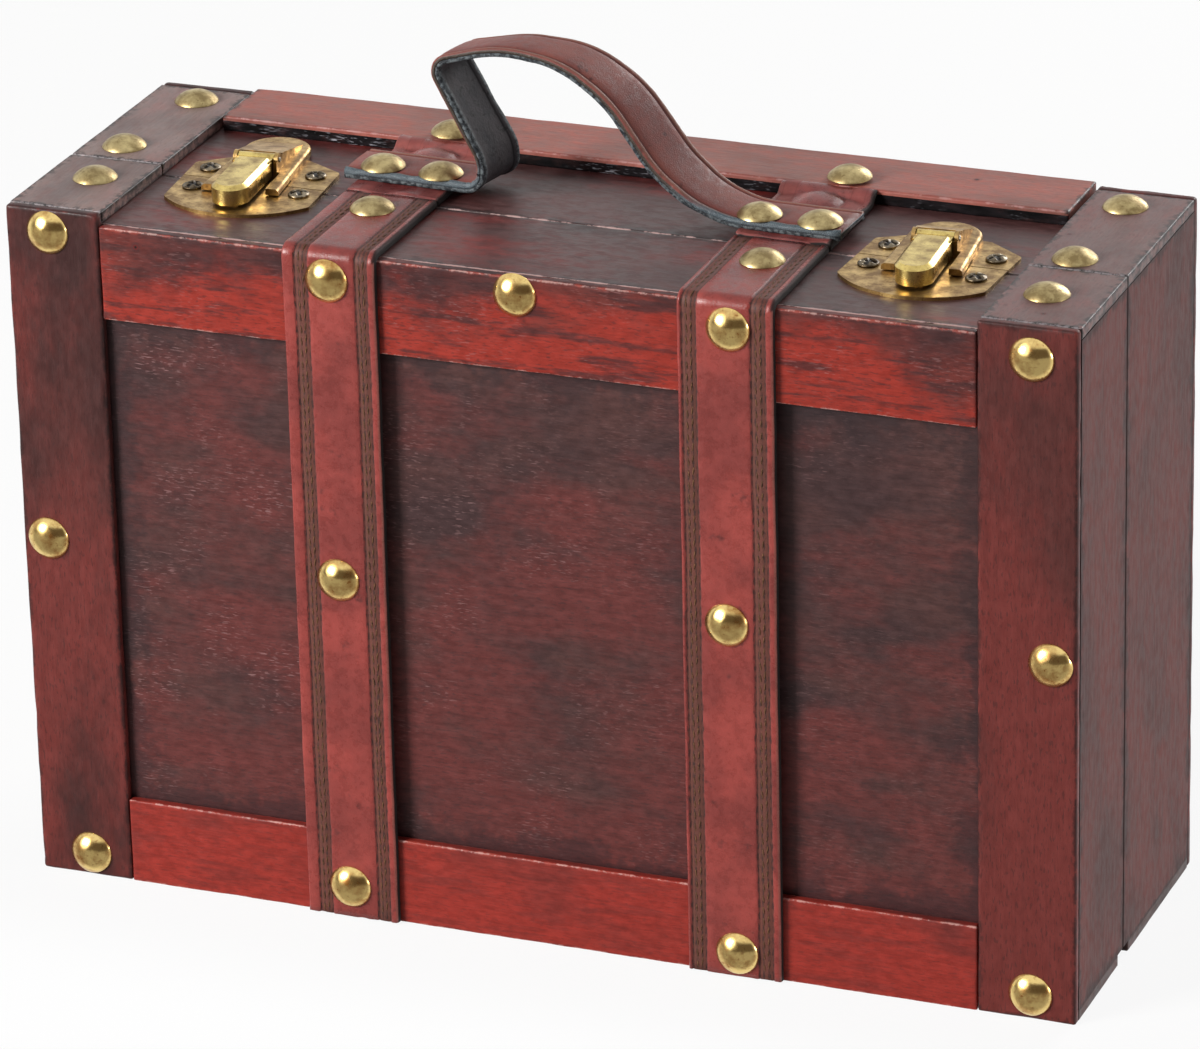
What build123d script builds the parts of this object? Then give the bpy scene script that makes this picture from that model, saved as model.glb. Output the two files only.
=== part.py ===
from build123d import *
import os

# A small upright wooden case in millimetres. X runs along its width, the front shell (the lid) is
# towards -Y, and Z = 0 is the surface that it stands on.

# Case
WIDTH = 310.0
DEPTH = 107.0
LID_DEPTH = 43.0
BOARD_TOP = 199.2
BOARD = 6.0
PANEL = 3.5
FACING = 3.0
BATTEN = 3.4
STILE = 28.0
TOP_RAIL = 27.2
BOTTOM_RAIL = 25.5
SEAM_GAP = 0.4
JOINT_GAP = 0.2
RUNNER_SETBACK = 4.5
WORN_EDGE = 1.3
EASED_EDGE = 0.5

# Red batten along the back of the top
REAR_BATTEN_DEPTH = 25.0
REAR_BATTEN_HEIGHT = 4.4
REAR_BATTEN_HALF = 126.0

# Straps
STRAP_X = {"left": -57.4, "right": 57.2}
STRAP_WIDTH = 27.4
STRAP_THICK = 2.4
STRAP_CLEAR = 0.05
STRAP_END = 0.5
STRAP_FOOT_RISE = 3.0

# Handle, in planes across its width: it lies skewed on the top, and its back edge leans to the right
HANDLE_WIDTH = 18.4
HANDLE_LEATHER = 1.7
HANDLE_LINING = 1.2
HANDLE_FRONT = -5.4
HANDLE_SKEW = 1.87
HANDLE_TAB_ENDS = (-75.0, 73.0)
HANDLE_REST = BOARD_TOP + STRAP_THICK + 2 * STRAP_CLEAR
HANDLE_FRONT_EDGE = (
    (-32.3, 0.0),
    (-32.3, 10.0),
    (-46.5, 36.2),
    (-27.0, 41.9),
    (-9.5, 39.4),
    (3.8, 30.7),
    (17.2, 11.8),
    (28.5, 3.6),
    (40.0, 0.0),
)
HANDLE_BACK_EDGE = (
    (-29.3, 0.0),
    (-29.3, 10.0),
    (-44.4, 35.8),
    (-24.5, 40.0),
    (-6.0, 39.4),
    (8.4, 30.6),
    (21.6, 13.0),
    (31.5, 4.4),
    (43.0, 0.0),
)
HANDLE_BENDS = (6.0, 12.0, 3.0, 40.0, 30.0, 34.0, 36.0, 30.0, 30.0)

# Domed nails
NAIL_HEAD = 5.6
NAIL_DOME = 3.3
NAIL_SHANK = 0.9
FRONT_NAILS_ON_WOOD = (
    (-142.5, 195.8),
    (-147.4, 103.6),
    (-139.5, 7.0),
    (142.1, 193.4),
    (147.6, 106.4),
    (142.1, 7.4),
    (-3.8, 194.0),
)
FRONT_NAILS_ON_STRAP = (
    (-57.9, 192.5),
    (-57.9, 104.0),
    (-57.9, 10.0),
    (58.2, 192.5),
    (56.5, 106.4),
    (58.0, 7.6),
)
LID_TOP_NAILS = ((-140.3, -26.2), (138.8, -30.1))
LID_STRAP_TOP_NAILS = ((-58.0, -22.8), (57.7, -27.3))
BODY_TOP_NAILS = ((-139.5, 40.5), (-143.4, -0.2), (138.7, 39.2), (137.8, -2.8))
REAR_BATTEN_NAILS = ((-57.3, 34.0), (61.0, 34.0))
HANDLE_NAILS = ((-65.2, 2.2), (-47.4, 1.2), (47.7, -1.8), (65.4, -2.4))

# Latches: each hood and lever sit a little askew on their plate, all in plan about the seam
LATCH_X = {"left": -100.0, "right": 99.6}
LATCH_TURN = {"left": 5.0, "right": 4.2}
PLATE_X = {"left": -99.2, "right": 100.2}
PLATE_SHIFT = {"left": 0.0, "right": -1.0}
PLATE_TURN = {"left": 5.0, "right": -2.8}
PLATE_THICK = 1.0
PLATE_HALF = 21.2
PLATE_FRONT = -15.0
PLATE_BOW = -25.4
PLATE_BACK = 12.5
PLATE_TAPER = (9.5, 20.4)
PLATE_CORNER = 1.6
SCREW_X = 15.5
LID_SCREW_Y = -6.7
BODY_SCREW_Y = 8.3
SCREW_HEAD = 3.0
SCREW_HEAD_HEIGHT = 1.5
SCREW_SHANK = 1.4
SCREW_LENGTH = 6.0
DISC_Y = {"left": 22.8, "right": 15.8}
DISC_RADIUS = {"left": 9.6, "right": 10.2}
DISC_LIP = 0.5
HOOD_TOP = 2.2
HOOD_EDGE = 1.2
ARM_INNER = 7.5
ARM_OUTER = 11.3
ARM_FRONT = -9.5
ARM_LIFT = 0.35
HUMP_FRONT = 8.6
HUMP_REACH = 0.6
HUMP_WALL = 1.0
EAR_FRONT = 3.6
EAR_INNER = 5.4
EAR_OUTER = 6.5
PIN_Y = 6.3
PIN_HEIGHT = 4.9
PIN_RADIUS = 0.8
PIN_FIT = 0.06
LEVER_HALF = 5.3
LEVER_NOSE = -21.9
LEVER_WALL = 0.9
LEVER_FOOT = 0.95
LEVER_TOP = 6.5
LEVER_BEVEL = 1.2
LEVER_TAIL = 2.8
LEVER_BARREL = 1.7
CATCH_Y = (-19.2, -17.4)
CATCH_HALF = 2.6
CATCH_HEIGHT = 0.6

# Butt hinges in the bottom recess
HINGE_X = {"left": -75.0, "right": 75.0}
HINGE_LENGTH = 32.0
HINGE_LEAF = 11.0
HINGE_THICK = 0.9
HINGE_AXIS_Z = 1.7
HINGE_BARREL = 1.4
HINGE_PIN = 0.7
HINGE_PIN_FIT = 0.05
HINGE_NOTCH = 0.25
HINGE_SCREW_X = (-10.5, 10.5)
HINGE_SCREW_HEAD = 1.7
HINGE_SCREW_SHANK = 0.8
HINGE_SCREW_LENGTH = 5.0

HALF = WIDTH / 2
INNER = HALF - BOARD
FRONT = -DEPTH / 2
BACK = DEPTH / 2
SEAM = FRONT + LID_DEPTH
STILE_INNER = HALF - STILE
BATTEN_TOP = BOARD_TOP + BATTEN
PLATE_TOP = BOARD_TOP + PLATE_THICK
REAR_BATTEN_TOP = BOARD_TOP + REAR_BATTEN_HEIGHT
SIDES = {"left": -1, "right": 1}
LONG = 400.0


def block(x, y, z):
    """A squared board that fills the spans x, y and z, given in either order."""
    spans = [sorted(span) for span in (x, y, z)]
    middle = [(low + high) / 2 for low, high in spans]
    size = [high - low for low, high in spans]
    return Pos(*middle) * Box(*size)


def edges_at(solid, run, **place):
    """Edges that run along one axis and whose middle lies at the given coordinates."""
    found = []
    for edge in solid.edges().filter_by(run):
        middle = edge.center()
        if all(abs(getattr(middle, name.upper()) - value) < 0.01 for name, value in place.items()):
            found.append(edge)
    return found


def end_board(side, outer, seam):
    x = side * INNER, side * HALF
    board = block(x, (outer, seam), (BATTEN, BOARD_TOP))
    return fillet(edges_at(board, Axis.Z, x=side * HALF, y=seam), EASED_EDGE)


def long_board(low, outer, seam, face_z):
    board = block((-INNER, INNER), (outer, seam), (low, low + BOARD))
    return fillet(edges_at(board, Axis.X, y=seam, z=face_z), EASED_EDGE)


def stile(side, face, back):
    upright = block((side * STILE_INNER, side * HALF), (face, back), (0, BATTEN_TOP))
    foot = edges_at(upright, Axis.Y, x=side * HALF, z=0)
    head = edges_at(upright, Axis.Y, x=side * HALF, z=BATTEN_TOP)
    upright = fillet(foot + head, WORN_EDGE)
    return fillet(edges_at(upright, Axis.Z, x=side * HALF, y=face), EASED_EDGE)


def rail(low, high, worn_z, face, back):
    half = STILE_INNER - JOINT_GAP
    strip = block((-half, half), (face, back), (low, high))
    return fillet(edges_at(strip, Axis.X, y=face, z=worn_z), WORN_EDGE)


def end_batten(side, outer, seam, low, high, worn_z):
    strip = block((side * STILE_INNER, side * HALF), (outer, seam), (low, high))
    strip = fillet(edges_at(strip, Axis.Y, x=side * HALF, z=worn_z), 2 * EASED_EDGE)
    return fillet(edges_at(strip, Axis.Y, x=side * STILE_INNER, z=worn_z), EASED_EDGE)


def shell(whole, face_name, face, seam):
    """One half of the case: boards, panel, facings and battens, from its outer face to the seam."""
    inward = 1 if face < 0 else -1
    facing_back = face + inward * FACING
    inside = BATTEN + BOARD, BOARD_TOP - BOARD
    panel_back = facing_back + inward * PANEL
    batten_start = facing_back + inward * JOINT_GAP
    runner_end = SEAM - inward * RUNNER_SETBACK
    nodes = {
        f"{whole}_top_board": long_board(BOARD_TOP - BOARD, facing_back, seam, BOARD_TOP),
        f"{whole}_bottom_board": long_board(BATTEN, facing_back, seam, BATTEN),
        f"{face_name}_panel": block((-INNER, INNER), (facing_back, panel_back), inside),
        f"{face_name}_rail_top": rail(BOARD_TOP - TOP_RAIL, BOARD_TOP, BOARD_TOP, face, facing_back),
        f"{face_name}_rail_bottom": rail(0, BOTTOM_RAIL, 0, face, facing_back),
    }
    top = BOARD_TOP, BATTEN_TOP
    for name, side in SIDES.items():
        nodes[f"{whole}_side_{name}"] = end_board(side, facing_back, seam)
        nodes[f"{face_name}_stile_{name}"] = stile(side, face, facing_back)
        nodes[f"{whole}_batten_{name}"] = end_batten(side, batten_start, seam, *top, BATTEN_TOP)
        nodes[f"{whole}_runner_{name}"] = end_batten(side, facing_back, runner_end, 0, BATTEN, 0)
    return nodes


def rear_batten():
    strip = block(
        (-REAR_BATTEN_HALF, REAR_BATTEN_HALF),
        (BACK - REAR_BATTEN_DEPTH, BACK),
        (BOARD_TOP, REAR_BATTEN_TOP),
    )
    strip = fillet(edges_at(strip, Axis.X, y=BACK, z=REAR_BATTEN_TOP), WORN_EDGE)
    return fillet(edges_at(strip, Axis.X, y=BACK - REAR_BATTEN_DEPTH, z=REAR_BATTEN_TOP), 2 * EASED_EDGE)


def offset_line(points, radii, distance):
    """A bent line moved sideways to its left by a distance, with each bend kept concentric."""
    runs = [(b - a).normalized() for a, b in zip(points, points[1:])]
    lefts = [Vector(-run.Y, run.X) for run in runs]
    moved = [points[0] + lefts[0] * distance]
    bends = []
    for point, run, left, next_run, next_left, radius in zip(
        points[1:], runs, lefts, runs[1:], lefts[1:], radii
    ):
        moved.append(point + (left + next_left) * (distance / (1 + left.dot(next_left))))
        turns_left = run.X * next_run.Y - run.Y * next_run.X > 0
        bends.append(radius - distance if turns_left else radius + distance)
    moved.append(points[-1] + lefts[-1] * distance)
    return FilletPolyline(*moved, radius=bends)


def strip_section(points, radii, near, far):
    """The face between two offsets of a bent line."""
    line = [Vector(*point) for point in points]
    inside = offset_line(line, radii, near)
    outside = offset_line(line, radii, far)
    ends = [Line(inside @ 0, outside @ 0), Line(inside @ 1, outside @ 1)]
    return make_face([*inside.edges(), *outside.edges(), *ends])


def across(section, x_start, width):
    """A section drawn in Y and Z, run along X."""
    plane = Plane(origin=(x_start, 0, 0), x_dir=(0, 1, 0), z_dir=(1, 0, 0))
    return extrude(plane * section, width)


def lid_strap(x):
    face = FRONT - STRAP_CLEAR
    lie = BOARD_TOP + STRAP_CLEAR
    route = ((face, STRAP_END), (face, lie), (SEAM - SEAM_GAP, lie))
    section = strip_section(route, (WORN_EDGE,), 0, STRAP_THICK)
    return across(section, x - STRAP_WIDTH / 2, STRAP_WIDTH)


def body_strap(x):
    """From the seam along the top, up over the rear batten and down the back."""
    lie = BOARD_TOP + STRAP_CLEAR
    high = REAR_BATTEN_TOP + STRAP_CLEAR
    step = BACK - REAR_BATTEN_DEPTH - STRAP_CLEAR
    face = BACK + STRAP_CLEAR
    route = (
        (SEAM + SEAM_GAP, lie),
        (step - STRAP_FOOT_RISE, lie),
        (step, high),
        (face, high),
        (face, STRAP_END),
    )
    bends = (2 * STRAP_THICK, 2 * EASED_EDGE, WORN_EDGE)
    section = strip_section(route, bends, 0, STRAP_THICK)
    return across(section, x - STRAP_WIDTH / 2, STRAP_WIDTH)


def handle_layer(near, far):
    """One leather layer of the handle: nailed tab, sharp fold, arch and nailed tab."""
    start, end = HANDLE_TAB_ENDS
    sections = []
    for edge, y in ((HANDLE_FRONT_EDGE, 0.0), (HANDLE_BACK_EDGE, HANDLE_WIDTH)):
        route = ((start, 0.0), *edge, (end, 0.0))
        plane = Plane(origin=(0, y, HANDLE_REST), x_dir=(1, 0, 0), z_dir=(0, -1, 0))
        sections.append(plane * strip_section(route, HANDLE_BENDS, near, far))
    layer = loft(sections, ruled=True)
    return Pos(0, HANDLE_FRONT, 0) * Rot(0, 0, -HANDLE_SKEW) * layer


def nail(length):
    """A domed nail that points down, its head's flat underside at the origin."""
    crown = (NAIL_HEAD**2 + NAIL_DOME**2) / (2 * NAIL_DOME)
    outline = [
        Line((0, NAIL_DOME), (0, -length)),
        Line((0, -length), (NAIL_SHANK, -length + 2 * NAIL_SHANK)),
        Line((NAIL_SHANK, -length + 2 * NAIL_SHANK), (NAIL_SHANK, 0)),
        Line((NAIL_SHANK, 0), (NAIL_HEAD, 0)),
        RadiusArc((NAIL_HEAD, 0), (0, NAIL_DOME), -crown),
    ]
    return revolve(Plane.XZ * make_face(outline), Axis.Z)


def nails(places, direction, length):
    """Nails at (x, y, z) places, driven against the direction that their domes face."""
    turn = {"up": Rot(0, 0, 0), "front": Rot(90, 0, 0), "back": Rot(-90, 0, 0)}[direction]
    return [Pos(*place) * turn * nail(length) for place in places]


def face_nails(direction, wood_y, strap_y):
    """The nails of the front, or of the back, which has the same set."""
    on_wood = nails([(x, wood_y, z) for x, z in FRONT_NAILS_ON_WOOD], direction, 6.0)
    on_strap = nails([(x, strap_y, z) for x, z in FRONT_NAILS_ON_STRAP], direction, 8.0)
    return Compound(children=on_wood + on_strap)


def top_nails(groups):
    """Nails on top, from groups of (places, height, length)."""
    found = []
    for places, height, length in groups:
        found += nails([(x, y, height) for x, y in places], "up", length)
    return Compound(children=found)


def latch_place(name):
    return Pos(LATCH_X[name], SEAM, PLATE_TOP) * Rot(0, 0, LATCH_TURN[name])


def plate_place(name):
    return Pos(PLATE_X[name], SEAM + PLATE_SHIFT[name], PLATE_TOP) * Rot(0, 0, PLATE_TURN[name])


def plate_outline():
    """Straight sides, a bowed front and a back that tapers in."""
    corner = Vector(PLATE_HALF, PLATE_FRONT)
    taper_x, taper_y = PLATE_TAPER
    back = [(PLATE_HALF, PLATE_BACK), (taper_x, taper_y), (-taper_x, taper_y), (-PLATE_HALF, PLATE_BACK)]
    outline = [
        Line((-PLATE_HALF, PLATE_BACK), (-PLATE_HALF, PLATE_FRONT)),
        ThreePointArc((-PLATE_HALF, PLATE_FRONT), (0, PLATE_BOW), corner),
        Line(corner, (PLATE_HALF, PLATE_BACK)),
        *Polyline(*back).edges(),
    ]
    face = make_face(outline)
    return fillet(face.vertices(), PLATE_CORNER)


def latch_plate(name, screw_y, keep):
    """The part of the plate on one side of the seam, with its two screw holes."""
    face = plate_outline()
    for x in (-SCREW_X, SCREW_X):
        face -= Pos(x, screw_y) * Circle(SCREW_SHANK + JOINT_GAP)
    plate = plate_place(name) * extrude(face, -PLATE_THICK)
    plate += latch_place(name) * extrude(tongue_outline(name), -PLATE_THICK)
    return plate & block((-LONG, LONG), (SEAM + keep * SEAM_GAP / 2, keep * LONG), (0, LONG))


def tongue_outline(name):
    """The round tongue of the plate that lies under the back of the hood."""
    radius = DISC_RADIUS[name] - DISC_LIP
    neck = Pos(0, DISC_Y[name] / 2 + EAR_FRONT) * Rectangle(2 * radius, DISC_Y[name] - 2 * EAR_FRONT)
    return neck + Pos(0, DISC_Y[name]) * Circle(radius)


def latch_catch(name):
    """The lid's plate, with the low nib that the lever's nose closes over."""
    plate = latch_plate(name, LID_SCREW_Y, -1)
    nib = block((-CATCH_HALF, CATCH_HALF), CATCH_Y, (0, CATCH_HEIGHT))
    nib = fillet(nib.edges().filter_by(Axis.X).group_by(Axis.Z)[-1], CATCH_HEIGHT / 2)
    return plate + latch_place(name) * nib


def hood_shell(name):
    """The stamped horseshoe: a round back and two arms that reach forward past the seam."""
    y = DISC_Y[name]
    radius = DISC_RADIUS[name]
    outline = [
        Line((-ARM_OUTER, ARM_FRONT), (-radius, y)),
        ThreePointArc((-radius, y), (0, y + radius), (radius, y)),
        Line((radius, y), (ARM_OUTER, ARM_FRONT)),
        Line((ARM_OUTER, ARM_FRONT), (-ARM_OUTER, ARM_FRONT)),
    ]
    shell_top = extrude(make_face(outline), HOOD_TOP)
    rim = shell_top.edges().group_by(Axis.Z)[-1].filter_by(lambda edge: edge.center().Y > ARM_FRONT + 1)
    shell_top = fillet(rim, HOOD_EDGE)
    mouth = block((-ARM_INNER, ARM_INNER), (-LONG, EAR_FRONT), (-1, LONG))
    lift = block((-LONG, LONG), (-LONG, EAR_FRONT), (-1, ARM_LIFT))
    return shell_top - mouth - lift


def hump(name):
    """The sloping cover behind the pivot, hollow and open to the front."""
    rise = PIN_HEIGHT + LEVER_BARREL
    back = DISC_Y[name] + HUMP_REACH * DISC_RADIUS[name]
    slope = [
        (HUMP_FRONT, 0),
        (HUMP_FRONT, rise - 0.4),
        (HUMP_FRONT + 2.2, rise - 0.8),
        (back, HOOD_TOP - 0.4),
        (back, 0),
    ]
    cover = across(make_face(Polyline(*slope, close=True)), -EAR_OUTER, 2 * EAR_OUTER)
    hollow = [
        (HUMP_FRONT - 1, 0),
        (HUMP_FRONT - 1, rise - HUMP_WALL - 0.8),
        (HUMP_FRONT + 2.2, rise - HUMP_WALL - 1.0),
        (back - 6.0, 0),
    ]
    inside = across(make_face(Polyline(*hollow, close=True)), -EAR_INNER, 2 * EAR_INNER)
    return cover, inside


def ears():
    """Two upright ears, round at the top, that carry the pin."""
    radius = LEVER_BARREL + 0.4
    made = []
    for side in (-1, 1):
        low, high = sorted((side * EAR_INNER, side * EAR_OUTER))
        root = block((low, high), (EAR_FRONT, HUMP_FRONT + 0.5), (0, PIN_HEIGHT))
        top = Pos((low + high) / 2, PIN_Y, PIN_HEIGHT) * Rot(0, 90, 0) * Cylinder(radius, high - low)
        made.append(root + top)
    return made


def latch_hood(name):
    cover, inside = hump(name)
    left, right = ears()
    hood = hood_shell(name) + cover - inside + left + right
    bore = Pos(0, PIN_Y, PIN_HEIGHT) * Rot(0, 90, 0) * Cylinder(PIN_RADIUS, 4 * EAR_OUTER)
    return latch_place(name) * (hood - bore)


def latch_pin(name):
    """A plain pin, set in the ears, with a slightly domed end on each side."""
    shank = Rot(0, 90, 0) * Cylinder(PIN_RADIUS, 2 * EAR_OUTER + 0.6)
    shank = chamfer(shank.edges().filter_by(GeomType.CIRCLE), PIN_RADIUS / 3)
    return latch_place(name) * Pos(0, PIN_Y, PIN_HEIGHT) * shank


def lever_outline(half, nose, tail):
    """A tongue with a round nose, seen from above."""
    sides = [
        Line((-half, tail), (-half, nose + half)),
        ThreePointArc((-half, nose + half), (0, nose), (half, nose + half)),
        Line((half, nose + half), (half, tail)),
        Line((half, tail), (-half, tail)),
    ]
    return make_face(sides)


def latch_lever(name):
    """A folded lever: bevelled top, walls on three sides and a barrel rolled round the pin."""
    crown = extrude(lever_outline(LEVER_HALF, LEVER_NOSE, LEVER_TAIL), LEVER_TOP - LEVER_FOOT)
    top_edges = crown.edges().group_by(Axis.Z)[-1]
    crown = chamfer(top_edges.filter_by(lambda edge: edge.center().Y < 0), LEVER_BEVEL)
    hollow = extrude(
        lever_outline(LEVER_HALF - LEVER_WALL, LEVER_NOSE + LEVER_WALL, LEVER_TAIL + 1),
        LEVER_TOP - LEVER_FOOT - LEVER_BEVEL - LEVER_WALL / 2,
    )
    folded = Pos(0, 0, LEVER_FOOT) * (crown - hollow)
    barrel_half = EAR_INNER - JOINT_GAP
    barrel = Pos(0, PIN_Y, PIN_HEIGHT) * Rot(0, 90, 0) * Cylinder(LEVER_BARREL, 2 * barrel_half)
    neck_low = PIN_HEIGHT - 0.2
    neck = block((-barrel_half, barrel_half), (LEVER_TAIL - 2, PIN_Y), (neck_low, PIN_HEIGHT + 1.0))
    bore = Pos(0, PIN_Y, PIN_HEIGHT) * Rot(0, 90, 0) * Cylinder(PIN_RADIUS + PIN_FIT, 4 * EAR_OUTER)
    return latch_place(name) * (folded + neck + barrel - bore)


def screw(head, height, shank, length):
    """A round-headed screw that points down, its head's underside at the origin."""
    rim = height / 3
    crown = (head**2 + (height - rim) ** 2) / (2 * (height - rim))
    outline = [
        Line((0, height), (0, -length)),
        Line((0, -length), (shank, -length + shank)),
        Line((shank, -length + shank), (shank, 0)),
        Line((shank, 0), (head, 0)),
        Line((head, 0), (head, rim)),
        RadiusArc((head, rim), (0, height), -crown),
    ]
    return revolve(Plane.XZ * make_face(outline), Axis.Z)


def latch_screws(screw_y):
    made = []
    for name in SIDES:
        for x in (-SCREW_X, SCREW_X):
            fastener = screw(SCREW_HEAD, SCREW_HEAD_HEIGHT, SCREW_SHANK, SCREW_LENGTH)
            made.append(plate_place(name) * Pos(x, screw_y, 0) * fastener)
    return Compound(children=made)


def hinge_place(name):
    return Pos(HINGE_X[name], SEAM, HINGE_AXIS_Z)


def knuckle(start, end, radius):
    return Pos((start + end) / 2, 0, 0) * Rot(0, 90, 0) * Cylinder(radius, abs(end - start))


def hinge_leaf(name, direction, own, others):
    """A leaf against the bottom board, with its knuckles and notches for the other leaf's."""
    leaf_top = BATTEN - HINGE_AXIS_Z
    half = HINGE_LENGTH / 2
    reach = direction * (HINGE_LEAF + HINGE_BARREL)
    leaf = block((-half, half), (0, reach), (leaf_top - HINGE_THICK, leaf_top))
    leaf = fillet(edges_at(leaf, Axis.Z, y=reach), 1.5)
    for start, end in others:
        notch = HINGE_BARREL + 2 * HINGE_NOTCH
        leaf -= block((start - HINGE_NOTCH, end + HINGE_NOTCH), (-notch, notch), (-BATTEN, BATTEN))
    for start, end in own:
        leaf += knuckle(start, end, HINGE_BARREL)
    leaf -= knuckle(-half - 1, half + 1, HINGE_PIN + (HINGE_PIN_FIT if direction < 0 else 0))
    for x in HINGE_SCREW_X:
        leaf -= Pos(x, direction * HINGE_LEAF * 0.62, 0) * Cylinder(HINGE_SCREW_SHANK + 0.1, LONG)
    return hinge_place(name) * leaf


def hinge_leaves(name):
    """The lid's leaf has the middle knuckle, the body's leaf the two outer ones."""
    third = HINGE_LENGTH / 6
    half = HINGE_LENGTH / 2
    middle = [(-third, third)]
    outer = [(-half, -third - HINGE_NOTCH), (third + HINGE_NOTCH, half)]
    lid = hinge_leaf(name, -1, middle, outer)
    body = hinge_leaf(name, 1, outer, middle)
    return lid, body


def hinge_pin(name):
    return hinge_place(name) * Rot(0, 90, 0) * Cylinder(HINGE_PIN, HINGE_LENGTH)


def hinge_screws(direction):
    """Round-headed screws that point up through the leaves into the bottom board."""
    made = []
    for name in SIDES:
        for x in HINGE_SCREW_X:
            fastener = screw(HINGE_SCREW_HEAD, 0.9, HINGE_SCREW_SHANK, HINGE_SCREW_LENGTH)
            seat = Pos(x, direction * HINGE_LEAF * 0.62, BATTEN - HINGE_THICK - HINGE_AXIS_Z)
            made.append(hinge_place(name) * seat * Rot(180, 0, 0) * fastener)
    return Compound(children=made)


def build():
    lid_seam = SEAM - SEAM_GAP / 2
    body_seam = SEAM + SEAM_GAP / 2
    strap_top = BOARD_TOP + STRAP_CLEAR + STRAP_THICK
    strap_face = FRONT - STRAP_CLEAR - STRAP_THICK
    batten_strap = REAR_BATTEN_TOP + STRAP_CLEAR + STRAP_THICK
    tab_top = HANDLE_REST + HANDLE_LINING + HANDLE_LEATHER
    nodes = shell("lid", "front", FRONT, lid_seam)
    nodes.update(shell("body", "back", BACK, body_seam))
    nodes["rear_batten"] = rear_batten()
    nodes["handle_lining"] = handle_layer(0, HANDLE_LINING)
    nodes["handle_leather"] = handle_layer(HANDLE_LINING, HANDLE_LINING + HANDLE_LEATHER)
    nodes["front_nails"] = face_nails("front", FRONT, strap_face)
    nodes["back_nails"] = face_nails("back", BACK, -strap_face)
    lid_groups = [(LID_TOP_NAILS, BATTEN_TOP, 6.0), (LID_STRAP_TOP_NAILS, strap_top, 6.0)]
    body_groups = [(BODY_TOP_NAILS, BATTEN_TOP, 6.0), (REAR_BATTEN_NAILS, batten_strap, 9.0)]
    nodes["lid_top_nails"] = top_nails(lid_groups)
    nodes["body_top_nails"] = top_nails(body_groups)
    nodes["handle_nails"] = top_nails([(HANDLE_NAILS, tab_top, 9.0)])
    nodes["latch_body_screws"] = latch_screws(BODY_SCREW_Y)
    nodes["latch_lid_screws"] = latch_screws(LID_SCREW_Y)
    nodes["body_hinge_screws"] = hinge_screws(1)
    nodes["lid_hinge_screws"] = hinge_screws(-1)
    for name in SIDES:
        nodes[f"lid_strap_{name}"] = lid_strap(STRAP_X[name])
        nodes[f"body_strap_{name}"] = body_strap(STRAP_X[name])
        nodes[f"latch_catch_{name}"] = latch_catch(name)
        nodes[f"latch_base_{name}"] = latch_plate(name, BODY_SCREW_Y, 1)
        nodes[f"latch_hood_{name}"] = latch_hood(name)
        nodes[f"latch_pin_{name}"] = latch_pin(name)
        nodes[f"latch_lever_{name}"] = latch_lever(name)
        nodes[f"lid_hinge_leaf_{name}"], nodes[f"body_hinge_leaf_{name}"] = hinge_leaves(name)
        nodes[f"hinge_pin_{name}"] = hinge_pin(name)
    return nodes


os.makedirs("parts", exist_ok=True)
for node, solid in build().items():
    export_step(solid, f"parts/{node}.step")
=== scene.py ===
import math

import bpy
from mathutils import Matrix, Vector, noise


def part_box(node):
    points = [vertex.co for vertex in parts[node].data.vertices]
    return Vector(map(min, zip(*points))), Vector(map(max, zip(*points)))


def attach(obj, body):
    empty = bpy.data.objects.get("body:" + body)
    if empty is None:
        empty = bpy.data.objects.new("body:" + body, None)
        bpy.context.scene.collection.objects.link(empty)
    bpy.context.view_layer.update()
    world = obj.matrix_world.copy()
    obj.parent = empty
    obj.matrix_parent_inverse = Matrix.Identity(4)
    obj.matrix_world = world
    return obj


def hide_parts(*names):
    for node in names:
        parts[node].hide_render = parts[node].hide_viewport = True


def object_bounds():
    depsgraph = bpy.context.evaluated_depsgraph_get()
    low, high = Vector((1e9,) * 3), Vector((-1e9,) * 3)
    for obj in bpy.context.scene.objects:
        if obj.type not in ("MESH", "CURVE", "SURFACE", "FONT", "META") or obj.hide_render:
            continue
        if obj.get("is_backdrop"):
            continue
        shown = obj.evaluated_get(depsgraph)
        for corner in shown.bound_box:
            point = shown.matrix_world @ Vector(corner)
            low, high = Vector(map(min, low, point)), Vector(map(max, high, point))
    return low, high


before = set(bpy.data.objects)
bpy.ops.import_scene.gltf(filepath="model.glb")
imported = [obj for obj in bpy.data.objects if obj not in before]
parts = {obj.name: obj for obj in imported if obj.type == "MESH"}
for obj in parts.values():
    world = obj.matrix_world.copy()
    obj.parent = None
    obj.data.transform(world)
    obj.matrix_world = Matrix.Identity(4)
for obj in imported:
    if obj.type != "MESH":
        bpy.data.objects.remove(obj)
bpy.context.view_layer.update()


# The camera has a long lens. It stands a little to the right of the front and looks down on the lid, with the
# case filling the frame.
lens = bpy.data.cameras.new("camera")
lens.sensor_width = 36.0
lens.lens = 211.1
camera = bpy.data.objects.new("camera", lens)
camera.location = (0.6726, -1.6829, 0.8780)
camera.rotation_euler = [math.radians(turn) for turn in (66.9172, 1.2849, 21.2984)]
bpy.context.scene.collection.objects.link(camera)
bpy.context.scene.camera = camera


# The studio is a white room with three soft lamps: a large one in front on the left, which throws the shadows
# to the right of every strap and nail, a small one on the right for that end, and one behind for the back and
# the sheen on top.
bpy.context.scene.view_settings.view_transform = "Standard"
MIDDLE = Vector((0, 0, 0.1))
LAMP_DISTANCE = 2.0
KEY = Vector((-0.74, -0.88, 0.50)).normalized()
WHITE = (1.0, 1.0, 1.0, 1.0)


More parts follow.
